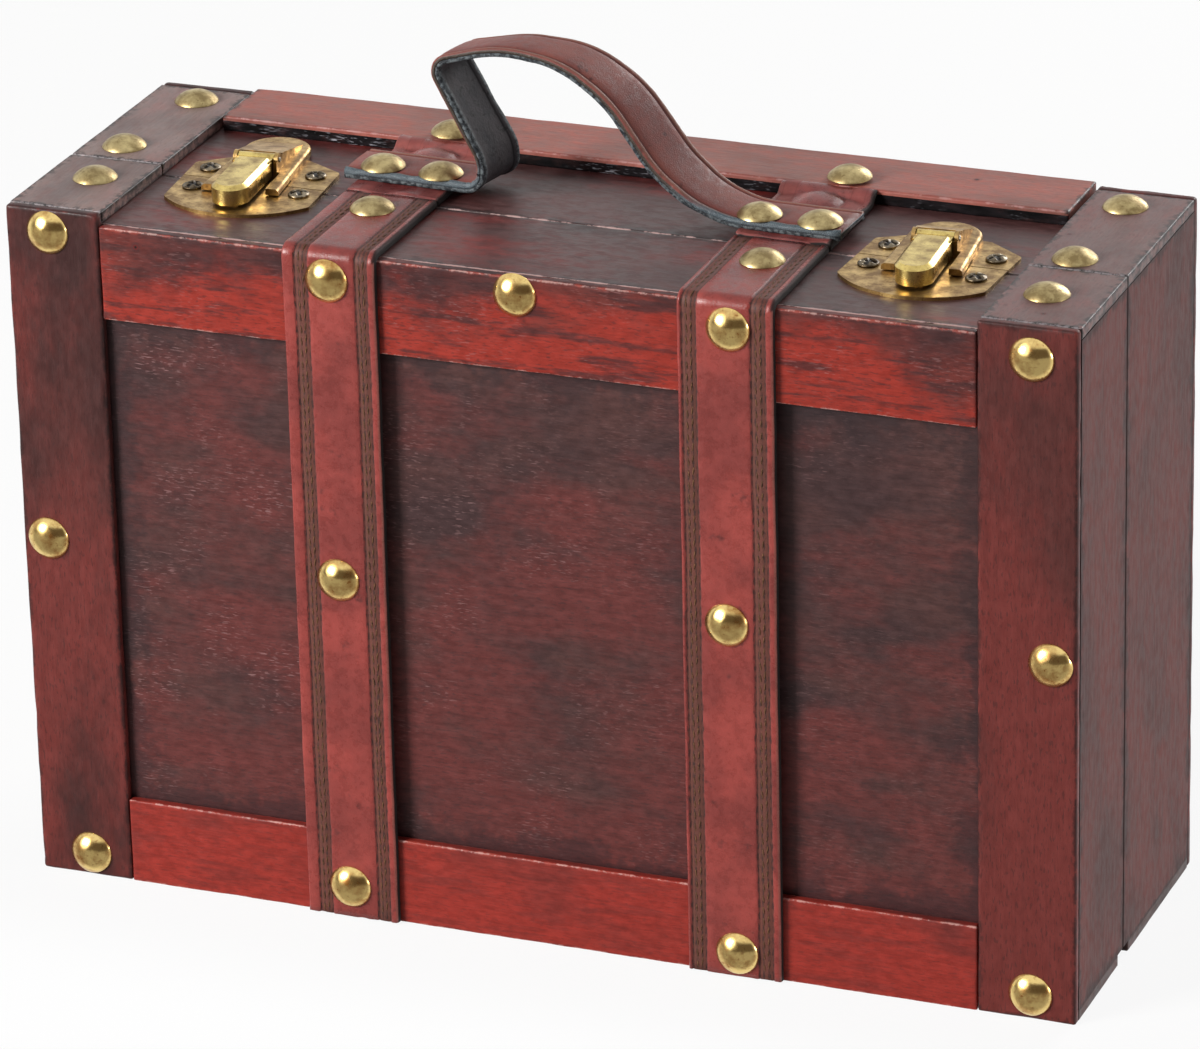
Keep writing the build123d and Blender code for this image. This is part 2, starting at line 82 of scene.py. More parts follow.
def put(tree, kind, sockets=None, **settings):
    """One shader node, with its settings and with each named socket given a value or a link."""
    made = tree.nodes.new("ShaderNode" + kind)
    for key, value in settings.items():
        setattr(made, key, value)
    for key, value in (sockets or {}).items():
        if isinstance(value, bpy.types.NodeSocket):
            tree.links.new(value, made.inputs[key])
        else:
            made.inputs[key].default_value = value
    return made


def tree_of(*values):
    """The shader tree that these values come from. One of them at least is the output of a node."""
    return next(value.id_data for value in values if isinstance(value, bpy.types.NodeSocket))


def calc(operation, first, second, clamp=False):
    """The result of one Math node."""
    sockets = {0: first, 1: second}
    return put(tree_of(first, second), "Math", sockets, operation=operation, use_clamp=clamp).outputs[0]


def times(first, second, plus=None):
    """One value multiplied by another, and a third added to that where it is given."""
    if plus is None:
        return calc("MULTIPLY", first, second)
    sockets = {0: first, 1: second, 2: plus}
    return put(tree_of(first, second, plus), "Math", sockets, operation="MULTIPLY_ADD").outputs[0]


def eased(value, start, end, to_start=0.0, to_end=1.0):
    """A value carried smoothly from one range to another."""
    spans = {"Value": value, "From Min": start, "From Max": end, "To Min": to_start, "To Max": to_end}
    return put(tree_of(value), "MapRange", spans, interpolation_type="SMOOTHSTEP").outputs[0]


def mixed(share, under, over, blend_type="MIX"):
    """One colour laid over another. The Mix node's colours are its inputs 6 and 7 and its output 2."""
    tree = tree_of(share, under, over)
    return put(tree, "Mix", {0: share, 6: under, 7: over}, data_type="RGBA", blend_type=blend_type).outputs[2]


def clouds(tree, where, scale, detail=2.0, roughness=0.5, distortion=0.0):
    """Cloudy noise from 0 to 1, at a place or, without one, across the box of the piece."""
    sockets = {"Scale": scale, "Detail": detail, "Roughness": roughness, "Distortion": distortion}
    if where is not None:
        sockets["Vector"] = where
    return put(tree, "TexNoise", sockets).outputs[0]


def own_place(tree):
    """Where a point lies on its piece. It stays the same when the piece moves."""
    return put(tree, "TexCoord").outputs["Object"]


def split(where):
    """A place as its x, y and z."""
    return put(tree_of(where), "SeparateXYZ", {"Vector": where}).outputs


def vectors(operation, first, second, gives=0):
    """The result of one Vector Math node."""
    return put(tree_of(first), "VectorMath", {0: first, 1: second}, operation=operation).outputs[gives]


def looked_at(tree):
    """1 for the rays that show a surface to the eye, in a mirror or through glass, and 0 for the others. The
    tests of each kind of ray come with it."""
    path = put(tree, "LightPath").outputs
    seen = calc("MAXIMUM", path["Is Camera Ray"], path["Is Glossy Ray"])
    return calc("MAXIMUM", seen, path["Is Transmission Ray"]), path


def blank_material(name):
    """A new material and its shader tree, which is still empty."""
    material = bpy.data.materials.new(name)
    material.use_nodes = True
    material.node_tree.nodes.clear()
    return material, material.node_tree


def soft_lamp(name, towards, width, power, tint):
    """A square lamp that faces the middle of the case."""
    lamp = bpy.data.lights.new(name, "AREA")
    lamp.size = width
    lamp.energy = power
    lamp.color = tint
    aim = Vector(towards).normalized()
    holder = bpy.data.objects.new(name, lamp)
    holder.location = MIDDLE + aim * LAMP_DISTANCE
    holder.rotation_euler = aim.to_track_quat("Z", "Y").to_euler()
    bpy.context.scene.collection.objects.link(holder)


soft_lamp("key_lamp", KEY, 0.70, 43.0, (1.0, 0.985, 0.96))
soft_lamp("side_lamp", (1.0, -0.04, 0.10), 0.40, 10.0, (1.0, 0.99, 0.97))
soft_lamp("back_lamp", (0.30, 1.0, 0.42), 0.90, 22.0, (1.0, 0.99, 0.98))

# The room shines white to the eye. In what is polished it also shows its dark front wall and the key lamp.
world = bpy.data.worlds.new("studio")
world.use_nodes = True
bpy.context.scene.world = world
room = world.node_tree
room.nodes.clear()
gaze = put(room, "TexCoord").outputs["Generated"]
facing = split(gaze)
front_side = eased(facing["Y"], -0.05, -0.45)
above_floor = eased(facing["Z"], -0.05, 0.04)
below_top = eased(facing["Z"], 0.72, 0.50)
front_tone = mixed(above_floor, (0.42, 0.41, 0.40, 1.0), (0.13, 0.105, 0.09, 1.0))
seen_room = mixed(times(front_side, below_top), WHITE, front_tone)
to_key = vectors("DOT_PRODUCT", gaze, KEY, "Value")
seen_room = mixed(eased(to_key, 0.90, 0.97), seen_room, (2.6, 2.55, 2.45, 1.0))
seen, paths = looked_at(room)
room_colour = mixed(seen, (0.10, 0.10, 0.103, 1.0), seen_room)
room_colour = mixed(paths["Is Camera Ray"], room_colour, WHITE)
sky = put(room, "Background", {"Color": room_colour, "Strength": 1.0})
room.links.new(sky.outputs[0], put(room, "OutputWorld").inputs["Surface"])

# The floor is a plain white sheet. It lets the white room through where it is only looked at, so that it is
# pale and still takes the shadow, and more so in front, where the lid comes down past it when it opens.
FLOOR_REACH = 6.0
sheet = bpy.data.meshes.new("floor")
corners = [(-FLOOR_REACH, -FLOOR_REACH, 0), (FLOOR_REACH, -FLOOR_REACH, 0), (FLOOR_REACH, FLOOR_REACH, 0),
           (-FLOOR_REACH, FLOOR_REACH, 0)]
sheet.from_pydata(corners, [], [(0, 1, 2, 3)])
floor = bpy.data.objects.new("floor", sheet)
bpy.context.scene.collection.objects.link(floor)
paper, tree = blank_material("white_paper")
seen, paths = looked_at(tree)
ahead = eased(split(own_place(tree))["Y"], -0.066, -0.125, 0.90, 0.98)
clear = calc("MAXIMUM", times(seen, ahead), paths["Is Shadow Ray"])
tone = mixed(clouds(tree, None, 9.0, 3.0), (0.90, 0.90, 0.90, 1.0), (0.93, 0.93, 0.925, 1.0))
matt = put(tree, "BsdfDiffuse", {"Color": tone})
through = put(tree, "BsdfTransparent")
both = put(tree, "MixShader", {0: clear, 1: matt.outputs[0], 2: through.outputs[0]})
tree.links.new(both.outputs[0], put(tree, "OutputMaterial").inputs["Surface"])
sheet.materials.append(paper)
floor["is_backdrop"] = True


# The boards make a shallow box of stained softwood, glued at the corners and sawn round into a front shell
# (the lid) and a back shell. The stain is patchy, and the saw cut has broken the finish along its edges.
mm = 0.001
GRAIN = {"x": (0.5, 1.0, 1.0), "y": (1.0, 0.5, 1.0), "z": (1.0, 1.0, 0.5)}
BROKEN_SEAM = (0.7 * mm, (212, 176, 172), 0.9, 170.0)
# The side, top and bottom boards are darker within about 4.5 mm of each edge.
EDGE_DARKENING = (4.5 * mm, (30, 20, 21), 0.75, 90.0)
BRAD_RED = (96, 26, 24)
BRAD_HOLE = (16, 9, 9)


def paint(red, green, blue):
    """A colour as a paint chart gives it, out of 255, for a shader socket."""
    def linear(part):
        """Red, green or blue as the light that it stands for."""
        part = part / 255
        return part / 12.92 if part <= 0.04045 else ((part + 0.055) / 1.055) ** 2.4
    return (linear(red), linear(green), linear(blue), 1.0)


def effect(name, takes, gives):
    """A shader group that is still empty. Its inputs and outputs are named under their kind, and the function
    that it comes with links what it gives out."""
    group = bpy.data.node_groups.new(name, "ShaderNodeTree")
    for in_out, sockets in (("INPUT", takes), ("OUTPUT", gives)):
        for kind, labels in sockets.items():
            for label in labels:
                group.interface.new_socket(name=label, in_out=in_out, socket_type="NodeSocket" + kind)
    ends = group.nodes.new("NodeGroupOutput").inputs

    def give(**results):
        """Links each result to the output of its name."""
        for label, result in results.items():
            group.links.new(result, ends[label])

    return group, group.nodes.new("NodeGroupInput").outputs, give


def shaded(colour, light):
    """A colour made lighter or darker by a factor."""
    grey = put(tree_of(light), "CombineColor", {"Red": light, "Green": light, "Blue": light}).outputs[0]
    return mixed(1.0, colour, grey, "MULTIPLY")


def surfaced(colour, roughness, height, strength, depth, gloss=None):
    """Completes a material with its surface and the fine relief on it. One without a gloss is bare metal."""
    tree = tree_of(colour)
    relief = put(tree, "Bump", {"Height": height, "Strength": strength, "Distance": depth}).outputs[0]
    sockets = {"Base Color": colour, "Roughness": roughness, "Normal": relief}
    sockets.update({"Metallic": 1.0} if gloss is None else {"Specular IOR Level": gloss})
    surface = put(tree, "BsdfPrincipled", sockets).outputs[0]
    tree.links.new(surface, put(tree, "OutputMaterial").inputs["Surface"])


def stained_timber_group():
    """Patchy dark stain over wood: fibres along the grain, dark and red patches, and short pale flecks."""
    group, takes, give = effect(
        "stained timber",
        {"Vector": ("Along", "Place"), "Color": ("Dark", "Brown", "Red", "Pale"),
         "Float": ("Redness", "Patch", "Streaks", "Flecks", "Contrast")},
        {"Color": ("Colour",), "Float": ("Height", "Dullness")},
    )
    where = vectors("ADD", own_place(group), takes["Place"])
    # Each place in this list is squeezed along the grain once more than the one before it.
    drawn = [where]
    for step in range(4):
        drawn.append(vectors("MULTIPLY", drawn[-1], takes["Along"]))
    elsewhere = vectors("ADD", drawn[1], (0.37, 0.71, 0.53))
    patches = clouds(group, drawn[1], takes["Patch"], 5.0, 0.60)
    reds = clouds(group, elsewhere, takes["Patch"], 5.0, 0.62)
    mottle = clouds(group, drawn[1], 420.0, 4.0, 0.62)
    broad = clouds(group, drawn[3], 260.0, 4.0, 0.62)
    fibres = clouds(group, drawn[4], 1500.0, 3.0, 0.55)
    ticks = clouds(group, drawn[2], 1700.0, 1.0)
    few = clouds(group, drawn[3], 2100.0, 1.0, 0.4)
    clusters = clouds(group, where, 55.0, 4.0)

    red_at = calc("SUBTRACT", 0.80, times(takes["Redness"], 0.60))
    red = eased(reds, calc("SUBTRACT", red_at, 0.12), calc("ADD", red_at, 0.12))
    colour = mixed(eased(patches, 0.36, 0.62), takes["Dark"], takes["Brown"])
    colour = mixed(red, colour, takes["Red"])
    colour = mixed(times(eased(broad, 0.50, 0.64), takes["Streaks"]), colour, takes["Dark"])
    light = calc("ADD", eased(mottle, 0.25, 0.75, -0.30, 0.30), eased(fibres, 0.25, 0.75, -0.18, 0.18))
    colour = shaded(colour, times(light, takes["Contrast"], 1.0))
    colour = mixed(times(eased(ticks, 0.42, 0.33), 0.45), colour, takes["Dark"])
    fleck = calc("MAXIMUM", times(eased(ticks, 0.58, 0.70), 0.42), eased(few, 0.67, 0.75, 0.0, 0.72))
    fleck = times(times(fleck, eased(clusters, 0.42, 0.66)), takes["Flecks"])
    height = calc("ADD", times(fibres, 0.7), mottle)
    give(Colour=mixed(fleck, colour, takes["Pale"]), Height=calc("SUBTRACT", height, fleck),
         Dullness=eased(mottle, 0.3, 0.75))
    return group


def edge_wear_and_shade_group():
    """The colour near the edges of a board, for wear and for painted shade and highlights. The board's own
    corners tell how near a point is to an edge.
    """
    group, takes, give = effect(
        "edge wear and shade",
        {"Vector": ("Low corner", "High corner"), "Color": ("Colour", "Edge colour"),
         "Float": ("Reach", "Amount", "Unevenness")},
        {"Color": ("Colour",)},
    )
    where = own_place(group)
    above = vectors("SUBTRACT", where, takes["Low corner"])
    below = vectors("SUBTRACT", takes["High corner"], where)
    x, y, z = split(vectors("MINIMUM", above, below))
    greater = calc("MAXIMUM", x, y)
    middle = calc("MAXIMUM", calc("MINIMUM", x, y), calc("MINIMUM", greater, z))
    patchy = clouds(group, where, takes["Unevenness"], 4.0, 0.7)
    width = times(takes["Reach"], eased(patchy, 0.36, 0.68, 0.1, 1.5))
    mask = times(eased(middle, 0.0, width, 1.0, 0.0), takes["Amount"])
    give(Colour=mixed(mask, takes["Colour"], takes["Edge colour"]))
    return group


stained_timber = stained_timber_group()
edge_wear_and_shade = edge_wear_and_shade_group()


def wood(name, corners, grain, shades, redness, patch, streaks, flecks, pale=(150, 112, 112), edges=(),
         dull=(0.38, 0.56), gloss=0.28, contrast=0.8, brads=()):
    """A stained board's material. shades are its dark, brown and red, and redness is its share of red at the
    foot and at the head of the board. flecks is how many pale flecks show, or how many at the left and at the
    right. edges lists (reach, colour, amount, unevenness) of what shows near its edges, and how far past the
    board the corners are moved to spare some edges. brads lists where small sunk nails were filled."""
    low, high = corners
    material, tree = blank_material(name)
    where = own_place(tree)
    spot = split(where)
    if isinstance(flecks, tuple):
        flecks = eased(spot["X"], low[0], high[0], *flecks)
    dark, brown, red = shades
    stain = put(tree, "Group", {
        "Along": GRAIN[grain], "Place": Vector(low) * 3.1, "Dark": paint(*dark), "Brown": paint(*brown),
        "Red": paint(*red), "Pale": paint(*pale), "Patch": patch, "Streaks": streaks, "Flecks": flecks,
        "Redness": eased(spot["Z"], low[2], high[2], *redness), "Contrast": contrast,
    }, node_tree=stained_timber).outputs
    colour = stain["Colour"]
    for reach, shade, amount, unevenness, *spared in edges:
        past_low, past_high = spared or (Vector(), Vector())
        colour = put(tree, "Group", {
            "Colour": colour, "Low corner": Vector(low) - past_low, "High corner": Vector(high) + past_high,
            "Reach": reach, "Edge colour": paint(*shade), "Amount": amount, "Unevenness": unevenness,
        }, node_tree=edge_wear_and_shade).outputs["Colour"]
    for brad in brads:
        away = vectors("DISTANCE", where, brad, "Value")
        for outer, inner, share, shade in (
                (1.9, 1.0, 0.5, dark), (0.9, 0.6, 1.0, BRAD_RED), (0.5, 0.2, 1.0, BRAD_HOLE)):
            colour = mixed(eased(away, outer * mm, inner * mm, 0.0, share), colour, paint(*shade))
    rough = eased(stain["Dullness"], 0.0, 1.0, *dull)
    surfaced(colour, rough, stain["Height"], 0.35, 0.25 * mm, gloss)
    return material


def finish(node, material):
    """Gives a CAD node its material, through the slots of its object."""
    for holder in parts[node].material_slots:
        holder.link = "OBJECT"
        holder.material = material


for shell in ("body", "lid"):
    for side in ("left", "right"):
        board = f"{shell}_side_{side}"
        finish(board, wood(
            board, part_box(board), "z", ((78, 46, 44), (96, 52, 49), (104, 52, 48)), (0.45, 0.45), patch=34.0,
            streaks=0.35, flecks=0.04, edges=[EDGE_DARKENING], gloss=0.20, contrast=0.55, dull=(0.48, 0.62),
        ))
    for level in ("top", "bottom"):
        board = f"{shell}_{level}_board"
        finish(board, wood(
            board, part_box(board), "x", ((58, 34, 34), (88, 55, 54), (116, 38, 34)), (0.36, 0.36), patch=36.0,
            streaks=0.35, flecks=0.25, edges=[EDGE_DARKENING, BROKEN_SEAM], gloss=0.45, contrast=0.6,
        ))


# The panels that close the front and the back of the box are thin and veneered, set back behind their frame.
# Their dark stain has been rubbed through in places, which leaves reddish clouds and short pale flecks.
PANEL_HALF = 0.127
PANEL_FOOT = 0.0255
PANEL_HEAD = 0.172
# Painted shade darkens each panel within about 14 mm of its frame, where it lies set back behind it.
PANEL_RECESS_SHADE = (14 * mm, (40, 32, 36), 0.6, 60.0)
for panel in ("front_panel", "back_panel"):
    low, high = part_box(panel)
    opening = (Vector((-PANEL_HALF, low[1], PANEL_FOOT)), Vector((PANEL_HALF, high[1], PANEL_HEAD)))
    finish(panel, wood(
        panel, opening, "x", ((62, 42, 43), (79, 50, 48), (98, 47, 45)), (0.62, 0.36), patch=42.0,
        streaks=0.15, flecks=(0.80, 0.22), pale=(158, 118, 118), edges=[PANEL_RECESS_SHADE], contrast=0.65,
    ))


# The stiles and rails are thin boards glued round each panel: dark red upright stiles at the ends, and
# brighter rails between them. Their edges are worn round and nicked, and those of the rails are rubbed pink.
RUBBED = (1.0 * mm, (178, 74, 60), 0.65, 180.0)
# A painted highlight: broken pale dashes along the rails' long arrises.
PAINTED_GLINT = (0.6 * mm, (226, 184, 176), 0.65, 420.0)
SPARE = 6 * mm
END_GAP = Vector((SPARE, 0.0, 0.0))
STILE_REDS = {"left": (0.66, 0.32), "right": (0.70, 0.44)}
STILE_RIM = {"front": 1.6 * mm, "back": 3.0 * mm}
RAIL_BRAD = (-0.1158, 0.1946)
# A plank's points lie closer near its edges, at these distances from them in parts of the edge's radius.
EDGE_STEPS = (0.0, 0.25, 0.6, 1.0, 1.6, 2.4)


def solid(name, points, faces):
    """A smooth mesh object."""
    mesh = bpy.data.meshes.new(name)
    mesh.from_pydata([tuple(point) for point in points], [], faces)
    mesh.shade_smooth()
    thing = bpy.data.objects.new(name, mesh)
    bpy.context.scene.collection.objects.link(thing)
    return thing


def plank(name, low, high, roundness, seed):
    """A board with edges that are worn unevenly round, from a lattice of points on the faces of its box."""
    low, high = Vector(low), Vector(high)
    lines = []
    for axis in range(3):
        span = high[axis] - low[axis]
        near = [share * roundness for share in EDGE_STEPS if share * roundness < span / 2]
        count = max(1, round((span - 2 * near[-1]) / (5 * mm)))
        inner = [near[-1] + (span - 2 * near[-1]) * step / count for step in range(1, count)]
        lines.append(near + inner + [span - gap for gap in reversed(near)])
    last = [len(line) - 1 for line in lines]
    index, points, faces = {}, [], []

    def corner(i, j, k):
        """The number of one point of the lattice, which is made and worn when it is first asked for."""
        key = (i, j, k)
        if key not in index:
            index[key] = len(points)
            spot = low + Vector((lines[0][i], lines[1][j], lines[2][k]))
            wear = 0.55 + 0.9 * abs(noise.noise(spot * 75 + Vector((seed, 0, 0))))
            wear += max(0.0, noise.noise(spot * 260 + Vector((0, seed, 0))) - 0.35) * 2.0
            radius = roundness * min(wear, 1.5)
            kept = Vector([min(max(spot[a], low[a] + radius), high[a] - radius) for a in range(3)])
            out = spot - kept
            if out.length > 1e-9:
                spot = kept + out.normalized() * radius
            points.append(spot)
        return index[key]

    for axis in range(3):
        u, v = [a for a in range(3) if a != axis]
        for side in (0, last[axis]):
            for a in range(last[u]):
                for b in range(last[v]):
                    around = []
                    for du, dv in ((0, 0), (1, 0), (1, 1), (0, 1)):
                        place = [0, 0, 0]
                        place[axis], place[u], place[v] = side, a + du, b + dv
                        around.append(corner(*place))
                    outward = (side > 0) == (axis != 1)
                    faces.append(around if outward else around[::-1])
    return solid(name, points, faces)


def worn_board(node, body, material, roundness, seed):
    """A plank that stands for a CAD board and fills its box."""
    board = plank(node + "_worn", *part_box(node), roundness, seed)
    board.data.materials.append(material)
    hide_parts(node)
    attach(board, body)
    return board


for face, body in (("front", "lid"), ("back", "back_shell")):
    for side, seed in (("left", 1.3), ("right", 4.7)):
        stile = f"{face}_stile_{side}"
        worn_board(stile, body, wood(
            stile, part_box(stile), "z", ((58, 31, 30), (84, 40, 37), (110, 45, 41)), STILE_REDS[side],
            patch=26.0, streaks=0.12, flecks=0.05, contrast=0.35,
            edges=[(0.5 * mm, (170, 74, 62), 0.5, 260.0), (STILE_RIM[face], (34, 20, 20), 0.8, 140.0)],
        ), 1.2 * mm, seed)
    for level, seed, shades, reds, streaks, flecks in (
            ("top", 8.1, ((62, 36, 37), (104, 44, 39), (148, 44, 32)), (0.82, 0.30), 0.75, 0.6),
            ("bottom", 9.6, ((110, 42, 38), (134, 46, 39), (148, 46, 37)), (0.62, 0.58), 0.45, 0.10)):
        rail = f"{face}_rail_{level}"
        low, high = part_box(rail)
        brads = [(RAIL_BRAD[0], low.y, RAIL_BRAD[1])] if rail == "front_rail_top" else ()
        worn_board(rail, body, wood(
            rail, (low - END_GAP, high + END_GAP), "x", shades, reds, patch=44.0, streaks=streaks,
            flecks=flecks, edges=[RUBBED, PAINTED_GLINT], contrast=0.6, brads=brads,
        ), 0.9 * mm, seed)


# A flat batten caps each end of the box on the top, and one under each end is the runner that it stands on.
# The battens are painted greyish and light as a painted sheen, the two left ones most, and crumbs of old glue
# show along the joint with the stiles.
ONLY_FRONT = (Vector((SPARE, 0.0, 0.0)), Vector((SPARE, SPARE, 0.0)))
BATTEN_EDGES = [(2.6 * mm, (16, 10, 10), 1.0, 330.0), (0.9 * mm, (170, 160, 164), 0.7, 800.0, *ONLY_FRONT)]
BATTEN_BRAD = {"lid": (0.1421, -0.0435), "body": (0.1307, 0.0146)}
# The battens' greyish, lighter shades are a painted sheen, lighter still on the left.
BATTEN_SHADES_WITH_SHEEN = {
    "left": ((114, 93, 90), (147, 124, 119), (153, 115, 111)),
    "right": ((98, 71, 69), (124, 94, 91), (132, 86, 83)),
}
for shell, body in (("lid", "lid"), ("body", "back_shell")):
    for side, seed in (("left", 2.2), ("right", 6.4)):
        batten = f"{shell}_batten_{side}"
        brads = [(*BATTEN_BRAD[shell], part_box(batten)[1].z)] if side == "right" else ()
        worn_board(batten, body, wood(
            batten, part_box(batten), "y", BATTEN_SHADES_WITH_SHEEN[side], (0.35, 0.35), patch=44.0, streaks=0.2,
            flecks=0.05, gloss=0.4, contrast=0.4, brads=brads, edges=BATTEN_EDGES,
        ), 0.6 * mm, seed)
        runner = f"{shell}_runner_{side}"
        worn_board(runner, body, wood(
            runner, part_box(runner), "y", ((56, 40, 40), (84, 58, 54), (104, 56, 50)), (0.35, 0.35),
            patch=50.0, streaks=0.3, flecks=0.15, edges=[(1.0 * mm, (40, 28, 28), 0.6, 180.0)],
        ), 0.6 * mm, seed + 1)


# A red batten is glued along the back edge of the top, under the straps. Its upper face has faded to a dusty
# pink, lightened further as a painted sheen, and its front face is painted black with pale specks.
NOT_ENDS = (Vector((SPARE, 0.0, 0.0)), Vector((SPARE, 0.0, 0.0)))
ONLY_ENDS = (Vector((0.0, SPARE, 0.0)), Vector((0.0, SPARE, 0.0)))
REAR_BRAD = (0.0943, 0.0446)
rear_low, rear_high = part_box("rear_batten")
dusty_red_with_sheen = wood(
    "rear_batten", (rear_low, rear_high), "x", ((132, 82, 73), (160, 103, 93), (172, 98, 86)), (0.5, 0.5),
    patch=40.0, streaks=0.25, flecks=0.2, pale=(206, 172, 166), dull=(0.42, 0.60), contrast=0.55, gloss=0.4,
    brads=[(*REAR_BRAD, rear_high.z)],
    edges=[(1.6 * mm, (150, 66, 58), 0.5, 200.0), (0.6 * mm, (214, 170, 168), 0.6, 300.0, *NOT_ENDS),
           (2.0 * mm, (20, 12, 12), 1.0, 260.0, *ONLY_ENDS)],
)
# The front face below its top 1.2 mm is painted black with pale specks.
black_front_face = wood(
    "rear_batten_black_front", (rear_low, rear_high), "x", ((8, 7, 8), (30, 26, 29), (50, 34, 34)), (0.35, 0.35),
    patch=240.0, streaks=0.3, flecks=1.0, pale=(190, 190, 200), dull=(0.7, 0.85), contrast=1.2, gloss=0.08,
)
rear = worn_board("rear_batten", "back_shell", dusty_red_with_sheen, 0.8 * mm, 5.5)
rear.data.materials.append(black_front_face)
for face in rear.data.polygons:
    if face.normal.y < -0.6 and face.center.z < rear_high.z - 1.2 * mm:
        face.material_index = 1


# Two small steel butt hinges, brassed and then tarnished, join the shells under the case. Each has a leaf
# screwed to each shell and a pin through their knuckles.
def tarnished_metal_group():
    """Bright metal under patches of tarnish, with fine scratches."""
    group, takes, give = effect(
        "tarnished metal",
        {"Color": ("Bright", "Dull"), "Float": ("Tarnish", "Smooth", "Rough")},
        {"Color": ("Colour",), "Float": ("Height", "Roughness")},
    )
    where = own_place(group)
    cloud = clouds(group, where, 190.0, 5.0, 0.65)
    specks = clouds(group, where, 900.0, 3.0)
    at = calc("SUBTRACT", 0.95, times(takes["Tarnish"], 0.9))
    ramp = {"Value": cloud, "From Min": calc("SUBTRACT", at, 0.16), "From Max": calc("ADD", at, 0.10)}
    patch = put(group, "MapRange", ramp).outputs[0]
    mask = calc("ADD", patch, times(eased(specks, 0.60, 0.72), 0.5), clamp=True)
    turned = put(group, "Mapping", {"Vector": where, "Rotation": (0.4, 0.9, 0.3), "Scale": (1.0, 14.0, 1.0)})
    scratches = clouds(group, turned.outputs[0], 420.0)
    height = calc("ADD", times(scratches, 0.5), times(cloud, 1.2))
    spans = {"Value": mask, "To Min": takes["Smooth"], "To Max": takes["Rough"]}
    give(Colour=mixed(mask, takes["Bright"], takes["Dull"]), Height=height,
         Roughness=put(group, "MapRange", spans).outputs[0])
    return group


tarnished_metal = tarnished_metal_group()


def mesh_value(tree, label):
    """What the mesh keeps at each of its points under this label."""
    return put(tree, "Attribute", attribute_name=label).outputs["Fac"]


def metal(name, bright, dull, tarnish, roughness, scratch=0.25, shade_from=None):
    """Plated or solid metal with patches of tarnish, fine scratches and a slightly uneven surface, and painted
    shade where the mesh says so."""
    material, tree = blank_material(name)
    skin = put(tree, "Group", {
        "Bright": paint(*bright), "Dull": paint(*dull), "Tarnish": tarnish, "Smooth": roughness[0],
        "Rough": roughness[1],
    }, node_tree=tarnished_metal).outputs
    colour = skin["Colour"]
    if shade_from:
        painted_shade = eased(mesh_value(tree, shade_from), 0.1, 0.9, 0.0, 0.92)
        colour = mixed(painted_shade, colour, paint(16, 12, 10))
    surfaced(colour, skin["Roughness"], skin["Height"], scratch, 0.2 * mm)
    return material


def soften(node, width):
    """Rounds the edges of a CAD node a little and shades it smooth between them."""
    bevel = parts[node].modifiers.new("soft edges", "BEVEL")
    bevel.width = width
    bevel.segments = 2
    bevel.limit_method = "ANGLE"
    bevel.angle_limit = math.radians(32)
    bevel.harden_normals = True


hinge_brass = metal("hinge_brass", (190, 160, 100), (90, 70, 42), 0.55, (0.3, 0.5))
pin_steel = metal("pin_steel", (170, 165, 155), (90, 84, 76), 0.45, (0.25, 0.45))
for side in ("left", "right"):
    for leaf in (f"lid_hinge_leaf_{side}", f"body_hinge_leaf_{side}"):
        finish(leaf, hinge_brass)
        soften(leaf, 0.12 * mm)
    finish(f"hinge_pin_{side}", pin_steel)
    soften(f"hinge_pin_{side}", 0.15 * mm)
for screws in ("lid_hinge_screws", "body_hinge_screws"):
    finish(screws, hinge_brass)


# Two straps of smooth red leather run over each shell, nailed flat. A pair of stitched lines is pressed in
# near each edge, and the ends at the saw cut and under the case are cut raw and have begun to fray.
STRAP_WIDTH = 27.4 * mm
STRAP_MIDDLE = {"left": -57.4 * mm, "right": 57.2 * mm}
# The routes as (y, z), the radii of their bends and the stitched bands across the strap are in millimetres.
STRAP_FOOT = 0.5
STRAP_ON_FRONT = -53.55
STRAP_ON_TOP = 199.25
LID_ROUTE = [(STRAP_ON_FRONT, STRAP_FOOT), (STRAP_ON_FRONT, STRAP_ON_TOP), (-10.9, STRAP_ON_TOP)]
LID_BENDS = [1.3]
BODY_ROUTE = [(-10.1, STRAP_ON_TOP), (24.8, STRAP_ON_TOP), (27.3, 201.7), (33.5, 202.4)]
BODY_BENDS = [4.0, 2.5]
BACK_ROUTE = [(-STRAP_ON_FRONT, 201.8), (-STRAP_ON_FRONT, STRAP_FOOT)]
STITCHED = {"left": [(3.7, 7.6), (21.5, 25.2)], "right": [(1.3, 5.5), (20.9, 25.2)]}
STITCH_SPACING = 3.5 * mm
STITCH_HEIGHT = 2.12 * mm
STITCH_ROWS = (-0.62, 0.62)
TURNED_OVER = (198.5 * mm, 199.5 * mm)
COVERED_NAIL = (13.2 * mm, 30.6 * mm)
COVERED_RADIUS = 6.8 * mm
# The black of the ragged fringe on the straps' right edges on top: raw edge and painted shadow.
FRINGE_AND_SHADOW_BLACK = (16, 10, 10)


def strap_profile(bands):
    """The section of a strap: cut edges, and a groove pressed along both sides of each stitched band."""
    top = [(0.0, 0.4), (0.0, 1.3), (0.12, 1.95), (0.35, 2.26), (0.65, 2.35)]
    for start, end in bands:
        top += [(start - 0.5, 2.38), (start - 0.15, 2.22), (start + 0.12, 1.92), (start + 0.5, 2.06),
                ((start + end) / 2, 2.16), (end - 0.5, 2.06), (end - 0.12, 1.92), (end + 0.15, 2.22),
                (end + 0.5, 2.37)]
        if end < 10:
            top += [(9.0 + 1.2 * step, 2.40) for step in range(10)]
    top += [(26.6, 2.34), (27.0, 2.24), (27.27, 1.95), (27.4, 1.3), (27.4, 0.4)]
    return top + [(27.1, 0.02), (20.0, 0.0), (10.0, 0.0), (0.3, 0.02)]


def in_metres(pairs):
    """Pairs of millimetres as pairs of metres."""
    return [(first * mm, second * mm) for first, second in pairs]


